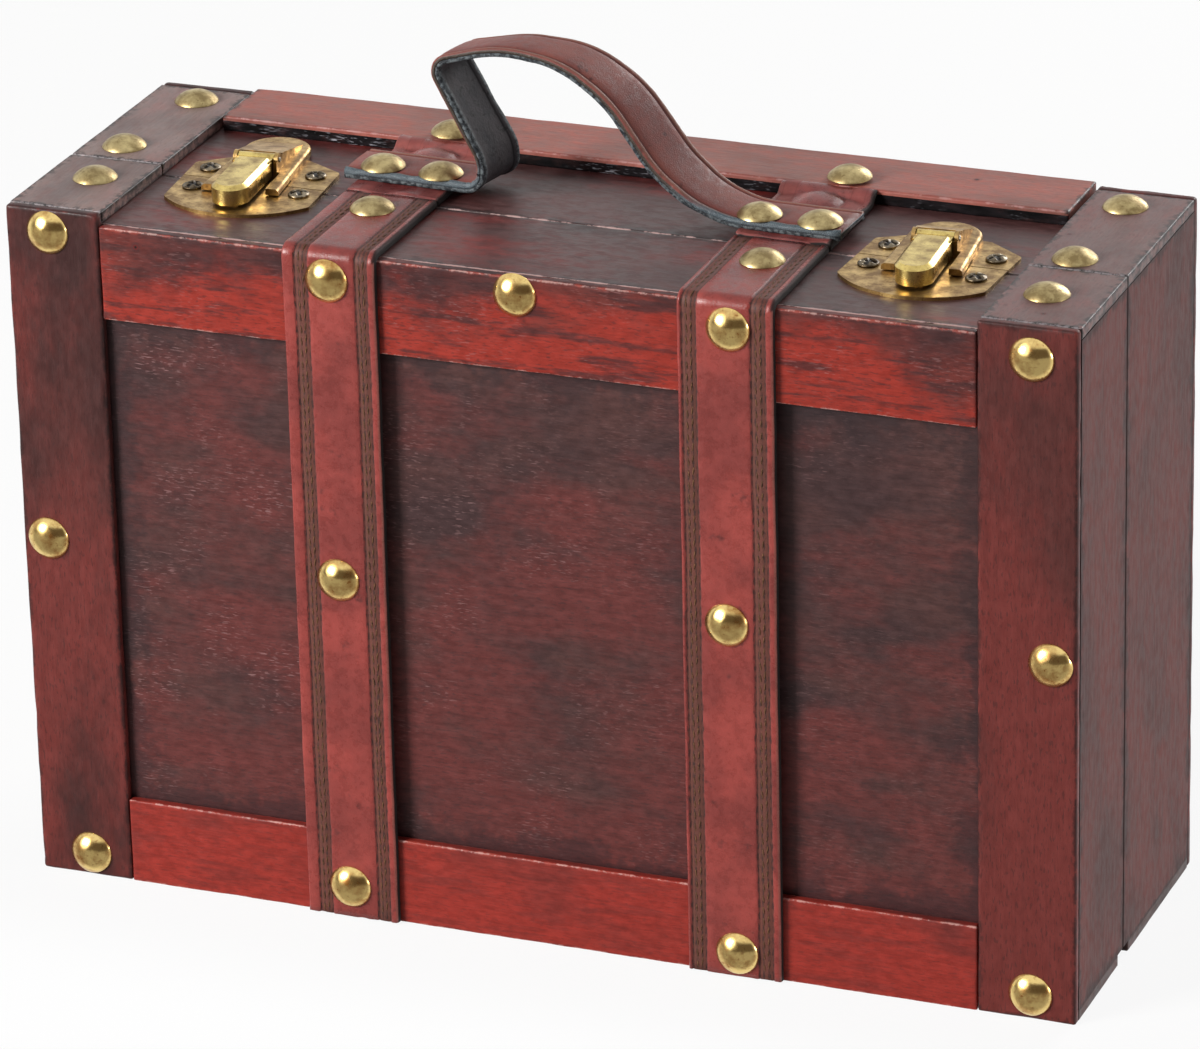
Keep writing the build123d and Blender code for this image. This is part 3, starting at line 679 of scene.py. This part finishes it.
def rounded_route(corners, bends, step, pieces=None):
    """The line through the corners with each one rounded, as (point, direction, distance along) about a step
    apart, or with the same number of pieces in every bend and straight."""
    corners = [Vector(corner) for corner in corners]
    line = [corners[0]]
    for before, at, after, radius in zip(corners, corners[1:], corners[2:], bends):
        back, on = (before - at).normalized(), (after - at).normalized()
        turn = math.pi - back.angle(on)
        start = at + back * (radius * math.tan(turn / 2))
        swing = 1 if back.x * on.y - back.y * on.x < 0 else -1
        centre = start + Vector((back.y, -back.x)) * swing * radius
        arm = start - centre
        arcs = pieces or max(4, round(math.degrees(turn) / 9))
        for piece in range(arcs + 1):
            angle = turn * piece / arcs * swing
            line.append(centre + Vector((arm.x * math.cos(angle) - arm.y * math.sin(angle),
                                         arm.x * math.sin(angle) + arm.y * math.cos(angle))))
    line.append(corners[-1])
    dense = [line[0]]
    for number, (before, after) in enumerate(zip(line, line[1:])):
        count = max(1, math.ceil((after - before).length / step))
        if pieces:
            count = 1 if number % (pieces + 1) else pieces
        dense += [before.lerp(after, share / count) for share in range(1, count + 1)]
    route, run = [], 0.0
    for number, point in enumerate(dense):
        before, after = dense[max(0, number - 1)], dense[min(len(dense) - 1, number + 1)]
        run += (point - before).length
        route.append((point, (after - before).normalized(), run))
    return route


def tube_faces(first, rows, width):
    """The faces of a closed tube whose points start at first and go on row by row, with a cap at each end."""
    faces = []
    for start in range(first, first + (rows - 1) * width, width):
        for number in range(width):
            a, b = start + number, start + (number + 1) % width
            faces.append([a, b, b + width, a + width])
    caps = [[start + number for number in range(width)] for start in (first, first + (rows - 1) * width)]
    return faces + [caps[0][::-1], caps[1]]


def ribbon(name, route, profile, place, shape, far=None):
    """A strap swept along a route, or between the routes of its two edges. place turns (across, a, b) into
    space, and shape returns how far a point of the section moves as (across, height, along). The mesh keeps
    how far across and along, and how high in the section, each point is."""
    points, kept = [], {"across": [], "along": [], "height": []}
    total = route[-1][2]
    widest = max(across for across, height in profile)
    for near_end, far_end in zip(route, far or route):
        run = near_end[2]
        for across, height in profile:
            point = near_end[0].lerp(far_end[0], across / widest)
            direction = near_end[1].lerp(far_end[1], across / widest).normalized()
            out = Vector((-direction.y, direction.x))
            side, lift, slip = shape(across, height, run, total)
            spot = point + out * (height + lift) + direction * slip
            points.append(place((across + side, spot.x, spot.y)))
            for values, value in zip(kept.values(), (across, run, height)):
                values.append(value)
    strip = solid(name, points, tube_faces(0, len(route), len(profile)))
    for label, values in kept.items():
        strip.data.attributes.new(label, "FLOAT", "POINT").data.foreach_set("value", values)
    return strip


def leather_grain_group():
    """Finished leather: slow changes of colour, fine pores and small creases."""
    group, takes, give = effect(
        "leather grain",
        {"Color": ("Colour one", "Colour two", "Dark"), "Float": ("Marks",)},
        {"Color": ("Colour",), "Float": ("Height", "Dullness")},
    )
    where = own_place(group)
    slow = clouds(group, where, 48.0, 4.0, 0.6)
    small = clouds(group, where, 420.0, 4.0, 0.6)
    spots = clouds(group, where, 150.0, 3.0, 0.7)
    pores = put(group, "TexVoronoi", {"Vector": where, "Scale": 1500.0}, feature="DISTANCE_TO_EDGE")
    colour = mixed(eased(slow, 0.35, 0.65), takes["Colour one"], takes["Colour two"])
    colour = shaded(colour, eased(small, 0.25, 0.75, 0.86, 1.14))
    mark = times(eased(spots, 0.62, 0.74), takes["Marks"])
    give(Colour=mixed(mark, colour, takes["Dark"]),
         Height=calc("ADD", times(eased(pores.outputs[0], 0.0, 0.25), 0.35), small),
         Dullness=eased(small, 0.3, 0.7))
    return group


leather_grain = leather_grain_group()


def leather(tree, one, two, marks):
    """The grain of finished leather in two colours, with dark marks on it."""
    return put(tree, "Group", {
        "Colour one": paint(*one), "Colour two": paint(*two), "Dark": paint(66, 34, 34), "Marks": marks,
    }, node_tree=leather_grain).outputs


def band_mask(value, start, end, soft):
    """1 between start and end, fading over a soft distance outside them. All three are in millimetres."""
    rise = eased(value, (start - soft) * mm, (start + soft) * mm)
    fall = eased(value, (end - soft) * mm, (end + soft) * mm, 1.0, 0.0)
    return times(rise, fall)


def strap_leather(name, one, two, bands, plain):
    """Red strap leather: brown in the stitched bands, dark in their grooves, black where it is cut raw. On
    top, its right edge is painted dark as shade, with a ragged black fringe that is raw edge and painted
    shadow. A plain strap has no bands."""
    material, tree = blank_material(name)
    skin = leather(tree, one, two, 0.55)
    across, along, height = [mesh_value(tree, label) for label in ("across", "along", "height")]
    fine = clouds(tree, None, 800.0, 3.0)
    slow = clouds(tree, None, 110.0)
    wander = times(slow, 1.6 * mm, times(fine, 1.1 * mm, across))
    wander = calc("SUBTRACT", wander, 1.35 * mm)
    sewn = 0.0 if plain else 1.0
    colour = skin["Colour"]
    brown = mixed(eased(fine, 0.35, 0.65), paint(72, 42, 34), paint(104, 64, 50))
    lengthwise = put(tree, "CombineXYZ", {"X": along}).outputs[0]
    dash = put(tree, "TexWave", {"Vector": lengthwise, "Scale": 88.0, "Distortion": 1.2, "Detail": 1.0})
    dash = eased(dash.outputs["Fac"], 0.1, 0.6, 0.45, 0.95)
    sunk = 0.0
    for start, end in bands:
        sunk = calc("MAXIMUM", sunk, band_mask(across, start - 0.4, end + 0.4, 0.3))
        band = band_mask(wander, start, end, 0.3)
        colour = mixed(times(times(band, 0.8), sewn), colour, brown)
        for groove in (start + 0.12, start + 1.3, end - 1.3, end - 0.12):
            line = times(band_mask(wander, groove - 0.2, groove + 0.2, 0.22), dash)
            colour = mixed(times(line, sewn), colour, paint(34, 18, 17))
    on_top = eased(split(own_place(tree))["Z"], *TURNED_OVER)
    # On the right edge: pale wear on the front, and painted shade on top.
    edge = mixed(on_top, paint(158, 112, 98), paint(30, 18, 17))
    worn = times(eased(across, 26.5 * mm, 27.1 * mm), eased(fine, 0.40, 0.60))
    colour = mixed(times(worn, 0.6), colour, edge)
    # On top, a ragged black fringe at the right edge, partly the raw edge and partly a painted shadow.
    ragged = times(fine, 2.2 * mm, across)
    black_fringe_and_shadow = times(eased(ragged, 27.4 * mm, 27.8 * mm, 0.0, 0.9), on_top)
    colour = mixed(black_fringe_and_shadow, colour, paint(*FRINGE_AND_SHADOW_BLACK))
    raw = eased(height, 2.05 * mm, 1.70 * mm)
    fibre = mixed(eased(fine, 0.48, 0.68), paint(12, 8, 8), paint(44, 28, 25))
    colour = mixed(raw, colour, fibre)
    rough = eased(skin["Dullness"], 0.0, 1.0, 0.24, 0.38)
    rough = calc("MAXIMUM", rough, times(sunk, 0.62))
    rough = calc("MAXIMUM", rough, times(calc("MAXIMUM", black_fringe_and_shadow, raw), 0.85))
    surfaced(colour, rough, skin["Height"], 0.25, 0.2 * mm, 0.40)
    return material


def thread_material():
    """Waxed brown stitching thread, twisted and faded."""
    material, tree = blank_material("strap_thread")
    faded = eased(clouds(tree, None, 260.0, 3.0), 0.38, 0.66)
    colour = mixed(faded, paint(58, 34, 26), paint(132, 92, 60))
    strands = clouds(tree, None, 2600.0)
    surfaced(colour, 0.7, strands, 0.5, 0.1 * mm, 0.3)
    return material


def stitches(name, route, rows, height, place, spacing, seed):
    """Rows of short slanted stitches laid along a route, each a small bead of thread."""
    sides, rings = 6, ((-1.0, 0.15), (-0.8, 0.75), (0.0, 1.0), (0.8, 0.75), (1.0, 0.15))
    half_width, half_height = 0.26 * mm, 0.22 * mm
    points, faces = [], []
    total = route[-1][2]
    for row, across in enumerate(rows):
        run = spacing * (0.5 + 0.3 * row)
        while run < total - spacing:
            near = min(range(len(route)), key=lambda n: abs(route[n][2] - run))
            point, direction, at = route[near]
            out = Vector((-direction.y, direction.x))
            base = point + direction * (run - at)
            jitter = noise.noise((run * 900, row * 7.3, seed))
            half = spacing * (0.36 + 0.05 * jitter)
            lean = 0.16 * mm * (1 if row % 2 else -1)
            faces += tube_faces(len(points), len(rings), sides)
            for share, size in rings:
                middle = base + direction * (half * share) + out * (height - 0.12 * mm * abs(share))
                for number in range(sides):
                    turn = number * 2 * math.pi / sides
                    side = across + lean * share + math.cos(turn) * half_width * size + half_height * jitter
                    spot = middle + out * (math.sin(turn) * half_height * size)
                    points.append(place((side, spot.x, spot.y)))
            run += spacing
    return solid(name, points, faces)


def strap(node, body, side, corners, bends, seed, plain=False):
    """One strap, or one part of it, and its stitching. The plain part, between the saw cut and the rear
    batten, has none: it is creased, lies over a nail head, and is pared thin where it ends on the batten."""
    bands = STITCHED[side]
    edge = STRAP_MIDDLE[side] - STRAP_WIDTH / 2
    route = rounded_route(in_metres(corners), [radius * mm for radius in bends], (0.9 if plain else 2.2) * mm)

    def place(spot):
        """A point of the strap in space."""
        return Vector((edge + spot[0], spot[1], spot[2]))

    def shape(across, height, run, total):
        """The strap wanders a little, its ends fray, and it is pinched thinner here and there."""
        to_end = total - run
        share = across / STRAP_WIDTH - 0.5
        wander = noise.noise((run * 28, seed, 0)) * 0.45 * mm
        wander += noise.noise((run * 150, seed, share * 2)) * 0.22 * mm
        fray = max(0.0, 1 - min(run, to_end) / (2.0 * mm))
        jag = noise.noise((across * 900, seed * 3.1, 0)) * 0.35 * mm
        slip = (abs(jag) + 0.1 * mm) * fray * (1 if run < total / 2 else -1)
        pinch = 0.0
        if height > 1.2 * mm:
            pinch = -0.14 * mm * abs(noise.noise((run * 60, share * 3, seed)))
        if plain and height > 1.8 * mm:
            pinch += 2.37 * mm - height
            far = math.hypot(across - COVERED_NAIL[0], run - COVERED_NAIL[1]) / COVERED_RADIUS
            loose = min(1.0, max(0.15, far - 0.6) * 2) * min(1.0, to_end / (6 * mm))
            pinch += 0.8 * mm * loose * noise.noise((run * 95, share * 3.1, seed + 3))
            pinch += 0.4 * mm * loose * noise.noise((run * 240, share * 6.0, seed + 5))
            pinch += 2.0 * mm * (1 - far**2) ** 0.7 if far < 1 else -0.5 * mm * max(0.0, 1.3 - far)
            pinch -= 1.8 * mm * max(0.0, 1 - to_end / (7 * mm))
        return wander * 0.5, pinch, slip

    strip = ribbon(f"{node}_leather", route, in_metres(strap_profile(bands)), place, shape)
    reds = ((156, 84, 78), (122, 58, 57)) if plain else ((152, 64, 58), (126, 53, 49))
    strip.data.materials.append(strap_leather(f"{node}_red", *reds, bands, plain))
    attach(strip, body)
    if not plain:
        rows = [(sum(band) / 2 + shift) * mm for band in bands for shift in STITCH_ROWS]
        sewn = stitches(f"{node}_thread", route, rows, STITCH_HEIGHT, place, STITCH_SPACING, seed)
        sewn.data.materials.append(thread)
        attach(sewn, body)
    return strip


thread = thread_material()
for side, seed in (("left", 3.0), ("right", 11.0)):
    front_strap = strap(f"lid_strap_{side}", "lid", side, LID_ROUTE, LID_BENDS, seed)
    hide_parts(f"lid_strap_{side}")
    top_strap = strap(f"top_strap_{side}", "back_shell", side, BODY_ROUTE, BODY_BENDS, seed + 5, plain=True)
    back_strap = strap(f"back_strap_{side}", "back_shell", side, BACK_ROUTE, [], seed + 8)
    for part in (top_strap, back_strap):
        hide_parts(f"body_strap_{side}")


# The handle is a double strip of leather, nailed flat over both straps. It stands up at the left, folds over
# sharply and arches down to the right. The lining is black-grey, and both layers' edges are cut raw.
HANDLE_WIDTH = 18.4 * mm
HANDLE_FRONT = -5.4 * mm
HANDLE_REST = 201.7 * mm
HANDLE_SKEW = math.radians(1.87)
# The routes of the near and the far edge as (x, height), their bends and the two sections are in millimetres.
HANDLE_NEAR = [
    (-75.0, 0.0), (-32.3, 0.0), (-32.3, 10.0), (-46.5, 36.2), (-27.0, 41.9), (-9.5, 39.4), (3.8, 30.7),
    (17.2, 11.8), (28.5, 3.6), (40.0, 0.0), (73.0, 0.0),
]
HANDLE_FAR = [
    (-75.0, 0.0), (-29.3, 0.0), (-29.3, 10.0), (-44.4, 35.8), (-24.5, 40.0), (-6.0, 39.4), (8.4, 30.6),
    (21.6, 13.0), (31.5, 4.4), (43.0, 0.0), (73.0, 0.0),
]
HANDLE_BENDS = [6.0, 12.0, 3.0, 40.0, 30.0, 34.0, 36.0, 30.0, 30.0]
LEFT_TAB = 44 * mm
RIGHT_TAB = 30 * mm
LINING_PROFILE = [
    (0.0, 0.25), (0.0, 1.0), (0.35, 1.2), (9.0, 1.2), (18.0, 1.2), (18.4, 1.0), (18.4, 0.25), (18.1, 0.0),
    (17.2, 0.0), (16.4, 0.06), (15.9, 0.42), (15.2, 0.50), (12.0, 0.50), (9.2, 0.50), (6.0, 0.50),
    (3.2, 0.50), (2.5, 0.42), (2.0, 0.06), (1.2, 0.0), (0.3, 0.0),
]
LEATHER_PROFILE = [
    (0.0, 1.22), (0.0, 1.7), (0.15, 2.25), (0.6, 2.55), (1.3, 2.58), (1.75, 2.40), (2.0, 2.16), (2.3, 2.40),
    (2.9, 2.66), (4.4, 2.80), (6.6, 2.88), (9.2, 2.90), (11.8, 2.88), (14.0, 2.80), (15.5, 2.66),
    (16.1, 2.40), (16.4, 2.16), (16.65, 2.40), (17.1, 2.58), (17.8, 2.55), (18.25, 2.25), (18.4, 1.7),
    (18.4, 1.22), (13.0, 1.22), (9.2, 1.22), (5.0, 1.22),
]
BEAD = (150, 112, 96)
CREASE = (52, 28, 26)


def handle_place(spot):
    """A point of the handle in space. The handle lies a little askew on the top."""
    across, u, height = spot
    x = u * math.cos(HANDLE_SKEW) + across * math.sin(HANDLE_SKEW)
    y = -u * math.sin(HANDLE_SKEW) + across * math.cos(HANDLE_SKEW)
    return Vector((x, y + HANDLE_FRONT, height + HANDLE_REST))


def handle_leather_material():
    """The handle's upper leather: worn brown on the arch, with a pale bead and a dark crease at each edge."""
    material, tree = blank_material("handle_brown")
    skin = leather(tree, (142, 82, 74), (116, 62, 57), 0.8)
    across, height = mesh_value(tree, "across"), mesh_value(tree, "height")
    rise = split(own_place(tree))["Z"]
    fuzz = eased(clouds(tree, None, 620.0, 4.0, 0.7), 0.42, 0.60)
    colour = skin["Colour"]
    for start, end, shade, share in ((0.5, 1.5, BEAD, 0.6), (16.9, 17.9, BEAD, 0.6),
                                     (1.85, 2.2, CREASE, 0.85), (16.2, 16.55, CREASE, 0.85)):
        line = band_mask(across, start, end, 0.2)
        colour = mixed(times(line, share), colour, paint(*shade))
    low_down = eased(rise, HANDLE_REST + 9 * mm, HANDLE_REST + 3 * mm)
    front_rim = times(eased(across, 1.5 * mm, 0.8 * mm), low_down)
    raw = calc("MAXIMUM", eased(height, 2.3 * mm, 1.8 * mm), front_rim)
    brown = mixed(fuzz, paint(28, 24, 24), paint(98, 86, 76))
    slate = mixed(fuzz, paint(34, 42, 50), paint(124, 138, 146))
    fibre = mixed(eased(rise, HANDLE_REST + 4 * mm, HANDLE_REST + 12 * mm), slate, brown)
    colour = mixed(raw, colour, fibre)
    rough = eased(skin["Dullness"], 0.0, 1.0, 0.46, 0.60)
    surfaced(colour, rough, skin["Height"], 0.3, 0.25 * mm, 0.3)
    return material


def lining_material():
    """Black-grey split leather, with blue-grey fibres fraying along its edges, and dark crinkles of painted
    shade.
    """
    material, tree = blank_material("handle_lining_grey")
    where = own_place(tree)
    across = mesh_value(tree, "across")
    fuzz = clouds(tree, where, 850.0, 4.0, 0.7)
    cloud = eased(clouds(tree, where, 90.0, 4.0), 0.35, 0.65)
    # Painted shade: dark crinkles where the lining folds.
    folds = eased(clouds(tree, where, 240.0, 3.0, distortion=1.5), 0.58, 0.68, 0.0, 0.8)
    colour = mixed(cloud, paint(54, 54, 60), paint(82, 77, 80))
    colour = mixed(folds, colour, paint(18, 17, 19))
    frayed = mixed(eased(fuzz, 0.42, 0.60), paint(28, 32, 38), paint(104, 112, 116))
    colour = mixed(band_mask(across, 2.0, 17.0, 0.7), frayed, colour)
    for start, end in ((2.3, 2.8), (15.6, 16.1)):
        line = band_mask(across, start, end, 0.15)
        colour = mixed(times(line, 0.8), colour, paint(24, 22, 24))
    surfaced(colour, 0.72, fuzz, 0.5, 0.3 * mm, 0.35)
    return material


def handle_shape(across, height, run, total):
    """The raw edges wander and fray, the tabs' ends are cut unevenly, and the lining puckers on the arch."""
    edge = 1 if across > HANDLE_WIDTH / 2 else -1
    at_edge = max(0.0, abs(across - HANDLE_WIDTH / 2) / (HANDLE_WIDTH / 2) - 0.9) * 10
    fringe = noise.noise((run * 620, height * 900, edge * 5)) * 0.60 * mm
    slow = noise.noise((run * 55, 3, edge)) * 0.25 * mm
    side = -edge * abs(fringe) * at_edge + slow * 0.5
    near_end = max(0.0, 1 - min(run, total - run) / (1.5 * mm))
    slip = abs(noise.noise((across * 800, height * 500, 9))) * 0.6 * mm * near_end
    lift = 0.0
    if across < 1.5 * mm and height > 1.9 * mm:
        at_tab = min(1.0, (max(0.0, LEFT_TAB - run) + max(0.0, run - total + RIGHT_TAB)) / (3 * mm))
        lift = 1.1 * mm * at_tab * abs(noise.noise((run * 430, across * 500, 6)))
    if height < 0.7 * mm:
        lift = 0.5 * mm * max(0.0, noise.noise((run * 85, across * 160, 4)))
        lift *= min(1.0, max(0.0, (run - LEFT_TAB) / (4 * mm)))
    return side, lift, slip * (1 if run < total / 2 else -1)


near_edge, far_edge = [
    rounded_route(in_metres(corners), [radius * mm for radius in HANDLE_BENDS], 1.6 * mm, 9)
    for corners in (HANDLE_NEAR, HANDLE_FAR)
]
for node, profile, material, slot in (
        ("handle_leather", LEATHER_PROFILE, handle_leather_material(), "strap_leather"),
        ("handle_lining", LINING_PROFILE, lining_material(), "lining_leather")):
    layer = ribbon(node + "_layer", near_edge, in_metres(profile), handle_place, handle_shape, far_edge)
    layer.data.materials.append(material)
    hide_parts(node)
    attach(layer, "back_shell")


# Domed half-inch nails of pressed brass hold the straps, the handle and the corners. The front ones are still
# bright. Those on top are given a duller olive gold, a painted reflection of the grey light above them.
NAIL_RADIUS = 6.35 * mm
NAIL_RISE = 3.3 * mm
# The faces that the heads sit on, and the nails' places on the front as (x, z), are in millimetres.
WOOD_FACE = 53.5
STRAP_FACE = 55.95
BATTEN_TOP = 202.6
STRAP_TOP = 201.65
REAR_STRAP_TOP = 204.5
HANDLE_TOP = 204.6
ON_WOOD = [
    (-142.5, 195.8), (-147.4, 103.6), (-139.5, 7.0), (142.1, 193.4), (147.6, 106.4), (142.1, 7.4),
    (-3.8, 194.0),
]
ON_STRAP = [(-57.9, 192.5), (-57.9, 104.0), (-57.9, 10.0), (58.2, 192.5), (56.5, 106.4), (58.0, 7.6)]


def dome_faces(first, rings, sides):
    """The faces of a dome whose points start at first with its top and go on ring by ring, closed below."""
    faces = [[first, first + 1 + side, first + 1 + (side + 1) % sides] for side in range(sides)]
    for ring in range(rings - 1):
        start = first + 1 + ring * sides
        for side in range(sides):
            a, b = start + side, start + (side + 1) % sides
            faces.append([a, a + sides, b + sides, b])
    faces.append([first + 1 + (rings - 1) * sides + side for side in range(sides)][::-1])
    return faces


def nail_heads(name, places, turn, material, seed):
    """Domed heads, each a little dented, with a thin rim pressed on what it holds. The places are in
    millimetres, and turn carries up to the way the heads face."""
    rings, sides = 10, 30
    outline = []
    for ring in range(1, rings + 1):
        angle = math.pi / 2 * ring / (rings + 0.6)
        outline.append((NAIL_RADIUS * math.sin(angle), NAIL_RISE * math.cos(angle) ** 1.45))
    outline.append((NAIL_RADIUS, 0.02 * mm))
    points, faces = [], []
    for number, place in enumerate(places):
        spot = Vector(place) * mm
        dent = Vector((seed + number * 3.7, number * 1.9, seed))
        faces += dome_faces(len(points), len(outline), sides)
        points.append(spot + turn @ Vector((0, 0, NAIL_RISE)))
        for radius, height in outline:
            for side in range(sides):
                angle = 2 * math.pi * side / sides
                flat = Vector((radius * math.cos(angle), radius * math.sin(angle), 0))
                dip = noise.noise(flat * 330 + dent) * 0.16 * mm * (height / NAIL_RISE)
                points.append(spot + turn @ (flat + Vector((0, 0, height - abs(dip)))))
    heads = solid(name, points, faces)
    heads.data.materials.append(material)
    return heads


bright_brass = metal("bright_brass", (236, 206, 134), (166, 116, 62), 0.40, (0.15, 0.30), 0.10)
# The nails on top get a second, duller copy of the brass as a painted reflection of the grey light above.
olive_brass_painted_reflection = metal("olive_brass_painted_reflection", (192, 174, 126), (130, 112, 76), 0.50, (0.32, 0.48), 0.15)
up = Matrix.Identity(3)
for node, body, turn, material, places in (
        ("front_nails", "lid", Matrix.Rotation(math.pi / 2, 3, "X"), bright_brass,
         [(x, -WOOD_FACE, z) for x, z in ON_WOOD] + [(x, -STRAP_FACE, z) for x, z in ON_STRAP]),
        ("back_nails", "back_shell", Matrix.Rotation(-math.pi / 2, 3, "X"), bright_brass,
         [(x, WOOD_FACE, z) for x, z in ON_WOOD] + [(x, STRAP_FACE, z) for x, z in ON_STRAP]),
        ("lid_top_nails", "lid", up, olive_brass_painted_reflection,
         [(-140.3, -26.2, BATTEN_TOP), (138.8, -30.1, BATTEN_TOP), (-58.0, -22.8, STRAP_TOP),
          (57.7, -27.3, STRAP_TOP)]),
        ("body_top_nails", "back_shell", up, olive_brass_painted_reflection,
         [(-139.5, 40.5, BATTEN_TOP), (-143.4, -0.2, BATTEN_TOP), (138.7, 39.2, BATTEN_TOP),
          (137.8, -2.8, BATTEN_TOP), (-57.3, 34.0, REAR_STRAP_TOP), (61.0, 34.0, REAR_STRAP_TOP)]),
        ("handle_nails", "back_shell", up, olive_brass_painted_reflection,
         [(-65.2, 2.2, HANDLE_TOP), (-47.4, 1.2, HANDLE_TOP), (47.7, -1.8, HANDLE_TOP),
          (65.4, -2.4, HANDLE_TOP)])):
    heads = nail_heads(node + "_domed", places, turn, material, len(node) * 1.7)
    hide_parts(node)
    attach(heads, body)


# Two swing latches of stamped brass cross the saw cut. A flat plate is split between the shells, a hood with
# two arms stands on its back part, and a folded lever turns on a pin between the hood's ears.
PLATE_TOP = 200.2 * mm
# The middle of each plate in millimetres, how far it is turned, and where its screws are from the middle.
PLATES = [(-99.2, -10.5, math.radians(5.0)), (100.2, -11.5, math.radians(-2.8))]
SCREW_BESIDE = 15.5
SCREW_AHEAD = {"lid": -6.7, "body": 8.3}
antique_brass = metal("antique_brass", (200, 168, 108), (126, 98, 60), 0.50, (0.30, 0.46), 0.12)
# The lever's brass is lighter than the plates' as a painted highlight, for the light its flat top catches.
lever_brass_painted_highlight = metal("lever_brass_painted_highlight", (222, 198, 122), (146, 120, 70), 0.42, (0.24, 0.38), 0.10)
screw_steel = metal("screw_steel", (150, 138, 118), (62, 52, 40), 0.50, (0.26, 0.42), 0.2, shade_from="screw_shade")
for side in ("left", "right"):
    for piece, material, width in (("base", antique_brass, 0.22), ("catch", antique_brass, 0.22),
                                   ("hood", antique_brass, 0.25), ("lever", lever_brass_painted_highlight, 0.30),
                                   ("pin", pin_steel, 0.15)):
        finish(f"latch_{piece}_{side}", material)
        soften(f"latch_{piece}_{side}", width * mm)


def cross_screws(name, places, material):
    """Domed screw heads with a cross recess, each at (x, y, turn of the cross) on its plate. The mesh keeps
    how much painted shade each point takes: in the recess, and some round the foot as a contact shadow."""
    radius, rim, crown, cross_depth = 3.0 * mm, 0.5 * mm, 1.0 * mm, 0.75 * mm
    rings, sides = 18, 48
    points, screw_shade, faces = [], [], []
    for x, y, turn in places:
        faces += dome_faces(len(points), rings + 1, sides)
        points.append(Vector((x, y, PLATE_TOP + rim + crown - 0.7 * mm)))
        screw_shade.append(1.0)
        for ring in range(1, rings + 2):
            far = radius * min(ring, rings) / rings
            for side in range(sides):
                angle = 2 * math.pi * side / sides
                along, beside = abs(far * math.cos(angle - turn)), abs(far * math.sin(angle - turn))
                arm = min(max(along, beside) / (2.15 * mm), 2.0)
                slot = min(along, beside) / (0.78 * mm)
                cut = min(1.0, max(0.0, 1.7 - slot * 1.35)) * min(1.0, max(0.0, (1.15 - arm) * 4))
                height = rim + crown * (1 - (far / radius) ** 2.4) - cross_depth * cut
                # The ring at the foot takes some painted shade, as a contact shadow on the plate.
                if ring > rings:
                    height, cut = 0.0, 0.4
                flat = (x + far * math.cos(angle), y + far * math.sin(angle))
                points.append(Vector((*flat, PLATE_TOP + height)))
                screw_shade.append(cut)
    heads = solid(name, points, faces)
    heads.data.attributes.new("screw_shade", "FLOAT", "POINT").data.foreach_set("value", screw_shade)
    heads.data.materials.append(material)
    return heads


for shell, body in (("lid", "lid"), ("body", "back_shell")):
    ahead = SCREW_AHEAD[shell]
    spots = []
    for x, y, turn in PLATES:
        for beside in (-SCREW_BESIDE, SCREW_BESIDE):
            spot = Matrix.Rotation(turn, 2) @ Vector((beside, ahead))
            spots.append(((x + spot.x) * mm, (y + spot.y) * mm, 0.9 * len(spots) + 0.35 + ahead * 0.1))
    heads = cross_screws(f"latch_{shell}_screws_heads", spots, screw_steel)
    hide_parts(f"latch_{shell}_screws")
    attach(heads, body)


# The box that the finished case fills, without the floor, is found.
low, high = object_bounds()
